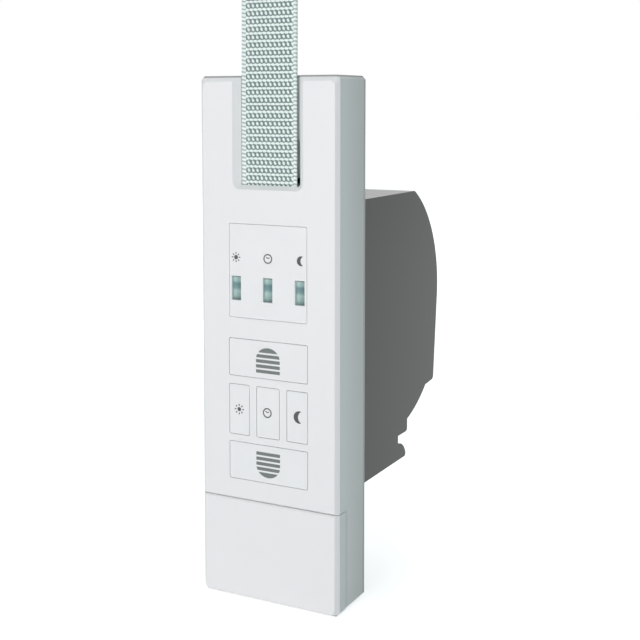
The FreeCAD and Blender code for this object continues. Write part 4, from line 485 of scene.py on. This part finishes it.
def ribbon(name, centre, normals, places, relief, columns):
    """A woven band that follows these points. Its outer face looks along the normals.

    places are the lengths up to the points, relief is the weave's depth, and columns counts the
    points across each face.
    """
    half = BELT_W / 2
    spread = np.linspace(-half + EDGE, half - EDGE, columns)
    along = places[:, None]
    sides = []
    for sign, across, shift in ((1.0, spread[None, :], 0.0), (-1.0, spread[None, ::-1], BACK_SHIFT)):
        height = belt_face(across, along, shift)
        rounding = np.sqrt(np.clip((half - np.abs(across)) / ROUNDED_W, 0.0, 1.0))
        thinner = ROUNDED_LEFT + (1.0 - ROUNDED_LEFT) * rounding
        out = sign * (BELT_T / 2 - relief + relief * height) * thinner
        sides.append((np.broadcast_to(across, out.shape), out, height))
    xs, out, height = (np.concatenate(both, axis=1) for both in zip(*sides))
    points = centre[:, None, :] + out[:, :, None] * normals[:, None, :]
    points[:, :, 0] += xs

    count, around = xs.shape
    i = np.arange(count - 1)[:, None]
    j = np.arange(around)[None, :]
    a = i * around + j
    b = i * around + (j + 1) % around
    faces = np.stack([a, b, b + around, a + around], axis=-1).reshape(-1, 4)
    last = (count - 1) * around
    caps = [list(range(around))[::-1], list(range(last, last + around))]
    mesh = bpy.data.meshes.new(name)
    mesh.from_pydata(points.reshape(-1, 3).tolist(), [], faces.tolist() + caps)
    crown = mesh.attributes.new("crown", "FLOAT", "POINT")
    crown.data.foreach_set("value", height.reshape(-1).astype(np.float32))
    mesh.polygons.foreach_set("use_smooth", [True] * len(faces) + [False] * len(caps))
    mesh.update()
    mesh.materials.append(WEBBING)
    band = bpy.data.objects.new(name, mesh)
    scene.collection.objects.link(band)
    return band


# Belt
# The webbing's dark colour is painted shade between the yarns.
WEBBING = woven("belt_webbing", bright=(0.87, 0.955, 0.925), dark=(0.17, 0.24, 0.225))
places, centre, along = spaced(belt_route(), step=0.30 * MM)
outward = np.stack([along[:, 0], -along[:, 2], along[:, 1]], axis=1)
belt = ribbon("belt", centre, outward, places, relief=0.28 * MM, columns=66)
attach(belt, "root")
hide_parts("shutter_belt")

# Belt roll: a spiral of the same belt about the drum's axis
DRUM_AT = np.array([0.0, 50.0, 7.0]) * MM
ROLL_START_R, ROLL_PITCH, ROLL_TURNS = 12.95, 1.7, 10
ROLL_STEPS_PER_TURN = 240
turned = np.linspace(0.0, ROLL_TURNS, ROLL_TURNS * ROLL_STEPS_PER_TURN)
radius = (ROLL_START_R + ROLL_PITCH * turned) * MM
angle = 2.0 * math.pi * turned - math.pi / 2
facing = np.stack([np.zeros_like(angle), np.cos(angle), np.sin(angle)], axis=1)
spiral = DRUM_AT + radius[:, None] * facing
roll = ribbon("belt_coil", spiral, facing, lengths_along(spiral), relief=0.2 * MM, columns=16)
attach(roll, "drum")
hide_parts("belt_roll")


# Symbols. Each is a list of shapes, and a shape is its points, in millimetres, with its cells.
def circle(x, z, r, count):
    turns = [2.0 * math.pi * i / count for i in range(count)]
    return [(x + r * math.cos(a), z + r * math.sin(a)) for a in turns]


def disc(x, z, r, count=28):
    return circle(x, z, r, count), [list(range(count))]


def hoop(x, z, r_in, r_out, count=40):
    cells = []
    for i in range(count):
        j = (i + 1) % count
        cells.append([i, count + i, count + j, j])
    return circle(x, z, r_in, count) + circle(x, z, r_out, count), cells


def stroke(x0, z0, x1, z1, width):
    length = math.hypot(x1 - x0, z1 - z0)
    side = width / 2 / length
    dx, dz = (z1 - z0) * side, (x0 - x1) * side
    points = [(x0 + dx, z0 + dz), (x1 + dx, z1 + dz), (x1 - dx, z1 - dz), (x0 - dx, z0 - dz)]
    return points, [[0, 1, 2, 3]]


# The symbols' own sizes, as shares of their radius: where a ray starts, the widths of rays, ring
# and hands, and the two hands' ends
RAYS, RAY_START, RAY_W = 8, 0.66, 0.22
RING_W, HAND_W = 0.24, 0.18
HANDS = (((0.02, 0.10), (-0.42, 0.32)), ((-0.02, 0.10), (0.42, 0.22)))


def sun(x, z, r, core=0.40):
    """A disc with rays. The disc's radius is this share of the whole."""
    shapes = [disc(x, z, core * r)]
    for i in range(RAYS):
        angle = 2.0 * math.pi * i / RAYS
        dx, dz = r * math.cos(angle), r * math.sin(angle)
        shapes.append(stroke(x + RAY_START * dx, z + RAY_START * dz, x + dx, z + dz, RAY_W * r))
    return shapes


def clock(x, z, r):
    """A ring with two hands."""
    shapes = [hoop(x, z, (1.0 - RING_W) * r, r)]
    for (x0, z0), (x1, z1) in HANDS:
        shapes.append(stroke(x + x0 * r, z + z0 * r, x + x1 * r, z + z1 * r, HAND_W * r))
    return shapes


def moon(x, z, half_w, half_h, thick, count=16):
    """A crescent that opens to the right: two arcs of this many steps between its horns."""
    points = []
    for left, steps in ((x - half_w, range(count + 1)), (x - half_w + thick, range(count - 1, 0, -1))):
        sag = x + half_w - left
        r = (sag**2 + half_h**2) / (2.0 * sag)
        span = math.asin(min(1.0, half_h / r))
        if sag > r:
            span = math.pi - span
        for i in steps:
            a = math.pi - span + 2.0 * span * i / count
            points.append((left + r + r * math.cos(a), z + r * math.sin(a)))
    cells = []
    for i in range(count):
        near = [(-j) % len(points) for j in (i + 1, i)]
        cells.append([i, i + 1] + [n for n in near if n not in (i, i + 1)])
    return [(points, cells)]


# The slats' ends, measured from the round cap's top, with the cap's rise and half width
SLATS = ((0.0, 1.85), (2.55, 3.75), (4.45, 5.65), (6.35, 7.55), (8.25, 9.45))
CAP_RISE, CAP_HALF_W = 4.5, 5.0


def slats(top, way, count=12):
    """A rolled shutter seen from the front: a round cap and four slats, standing or hanging."""
    shapes = []
    for start, end in SLATS:
        right = []
        for i in range(count + 1):
            down = start + (end - start) * i / count
            half = CAP_HALF_W * math.sqrt(1.0 - max(0.0, 1.0 - down / CAP_RISE)**2)
            right.append((half, top - way * down))
        outline = [(x, z) for x, z in right if x > 0.0] + [(-x, z) for x, z in right[::-1]]
        order = list(range(len(outline)))
        shapes.append((outline, [order[::-1] if way > 0 else order]))
    return shapes


PRINT_T = 0.1 * MM


def printed(name, shapes, body, ink):
    """Thin raised print, half of it sunk into the front, as one piece on this body."""
    verts, faces = [], []
    for points, cells in shapes:
        base, count = len(verts), len(points)
        for y in (FRONT - PRINT_T / 2, FRONT + PRINT_T / 2):
            verts += [(x * MM, y, z * MM) for x, z in points]
        sides = {(cell[k - 1], cell[k]) for cell in cells for k in range(len(cell))}
        for cell in cells:
            faces.append([base + k for k in cell])
            faces.append([base + count + k for k in reversed(cell)])
        for a, b in sorted(sides):
            if (b, a) not in sides:
                faces.append([base + b, base + a, base + count + a, base + count + b])
    mesh = bpy.data.meshes.new(name)
    mesh.from_pydata(verts, [], faces)
    mesh.update()
    mesh.materials.append(ink)
    piece = bpy.data.objects.new(name, mesh)
    scene.collection.objects.link(piece)
    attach(piece, body)


INK = moulded("ink_dark", (0.075, 0.075, 0.075), 0.5)
SLATE = moulded("ink_slate", (0.165, 0.188, 0.184), 0.5)
TOP_Z, KEYS_Z = 31.1, -25.9
printed("symbol_sun_top", sun(-13.35, TOP_Z - 0.15, 1.8, core=0.46), "root", INK)
printed("symbol_clock_top", clock(0.15, TOP_Z, 1.82), "root", INK)
printed("symbol_moon_top", moon(13.4, TOP_Z, half_w=1.25, half_h=1.65, thick=1.5), "root", INK)
printed("symbol_up", slats(top=-1.8, way=1.0), "up_key", SLATE)
printed("symbol_down", slats(top=-50.3, way=-1.0), "down_key", SLATE)
printed("symbol_sun", sun(-12.3, KEYS_Z, 1.95), "sun_key", INK)
printed("symbol_clock", clock(-0.3, KEYS_Z, 1.85), "clock_key", INK)
printed("symbol_moon", moon(12.3, KEYS_Z, half_w=1.55, half_h=2.15, thick=1.8), "moon_key", INK)

# Floor, lifted to white where it is seen
FLOOR_HALF = 6.0
FLOOR_LIFT = 0.66
corners = [(x * FLOOR_HALF, y * FLOOR_HALF, FLOOR_Z) for x, y in ((-1, -1), (1, -1), (1, 1), (-1, 1))]
mesh = bpy.data.meshes.new("floor")
mesh.from_pydata(corners, [], [(0, 1, 2, 3)])
floor = bpy.data.objects.new("floor", mesh)
scene.collection.objects.link(floor)
mat, tree = new_material("floor_white")
finish(mat, colour=(0.9, 0.9, 0.9), rough=0.9)
lift = worked_out(tree, "MULTIPLY", seen_share(tree), FLOOR_LIFT)
shader = tree.nodes["Principled BSDF"]
feed(tree, shader.inputs["Emission Color"], (1.0, 1.0, 1.0))
feed(tree, shader.inputs["Emission Strength"], lift)
# From below the floor lets the view through, so that the underside can be looked at.
side = tree.nodes.new("ShaderNodeNewGeometry")
clear = tree.nodes.new("ShaderNodeBsdfTransparent")
one_sided = tree.nodes.new("ShaderNodeMixShader")
tree.links.new(side.outputs["Backfacing"], one_sided.inputs[0])
tree.links.new(shader.outputs["BSDF"], one_sided.inputs[1])
tree.links.new(clear.outputs["BSDF"], one_sided.inputs[2])
tree.links.new(one_sided.outputs[0], tree.nodes["Material Output"].inputs["Surface"])
floor.data.materials.append(mat)

# World: white where it is seen, and a dimmer, cooler light on the object
FILL_COLOUR, FILL_STRENGTH = (0.82, 1.0, 0.985), 0.39
world = bpy.data.worlds.new("World")
scene.world = world
world.use_nodes = True
tree = world.node_tree
tree.nodes.clear()
fill = tree.nodes.new("ShaderNodeBackground")
feed(tree, fill.inputs["Color"], FILL_COLOUR)
feed(tree, fill.inputs["Strength"], FILL_STRENGTH)
white = tree.nodes.new("ShaderNodeBackground")
feed(tree, white.inputs["Color"], (1.0, 1.0, 1.0))
feed(tree, white.inputs["Strength"], 1.0)
mix = tree.nodes.new("ShaderNodeMixShader")
out = tree.nodes.new("ShaderNodeOutputWorld")
tree.links.new(seen_share(tree), mix.inputs[0])
tree.links.new(fill.outputs[0], mix.inputs[1])
tree.links.new(white.outputs[0], mix.inputs[2])
tree.links.new(mix.outputs[0], out.inputs["Surface"])


def area_lamp(name, at, aim, power, width, height, colour=(1.0, 1.0, 1.0)):
    data = bpy.data.lights.new(name, "AREA")
    data.shape = "RECTANGLE"
    data.size = width
    data.size_y = height
    data.energy = power
    data.color = colour
    lamp = bpy.data.objects.new(name, data)
    lamp.location = at
    toward = Vector(aim) - Vector(at)
    lamp.rotation_mode = "QUATERNION"
    lamp.rotation_quaternion = toward.to_track_quat("-Z", "Y")
    scene.collection.objects.link(lamp)


# Lamps. The key lamp stands partly below the floor, which blocks its lower part.
area_lamp("key", at=(-0.03, -1.3, -0.12), aim=(0.0, 0.0, 0.0), power=19.1, width=0.8, height=1.0,
          colour=(1.0, 0.913, 0.950))
area_lamp("back", at=(-0.50, 1.2, 1.0), aim=(0.0, 0.03, 0.0), power=5.0, width=0.8, height=0.8)
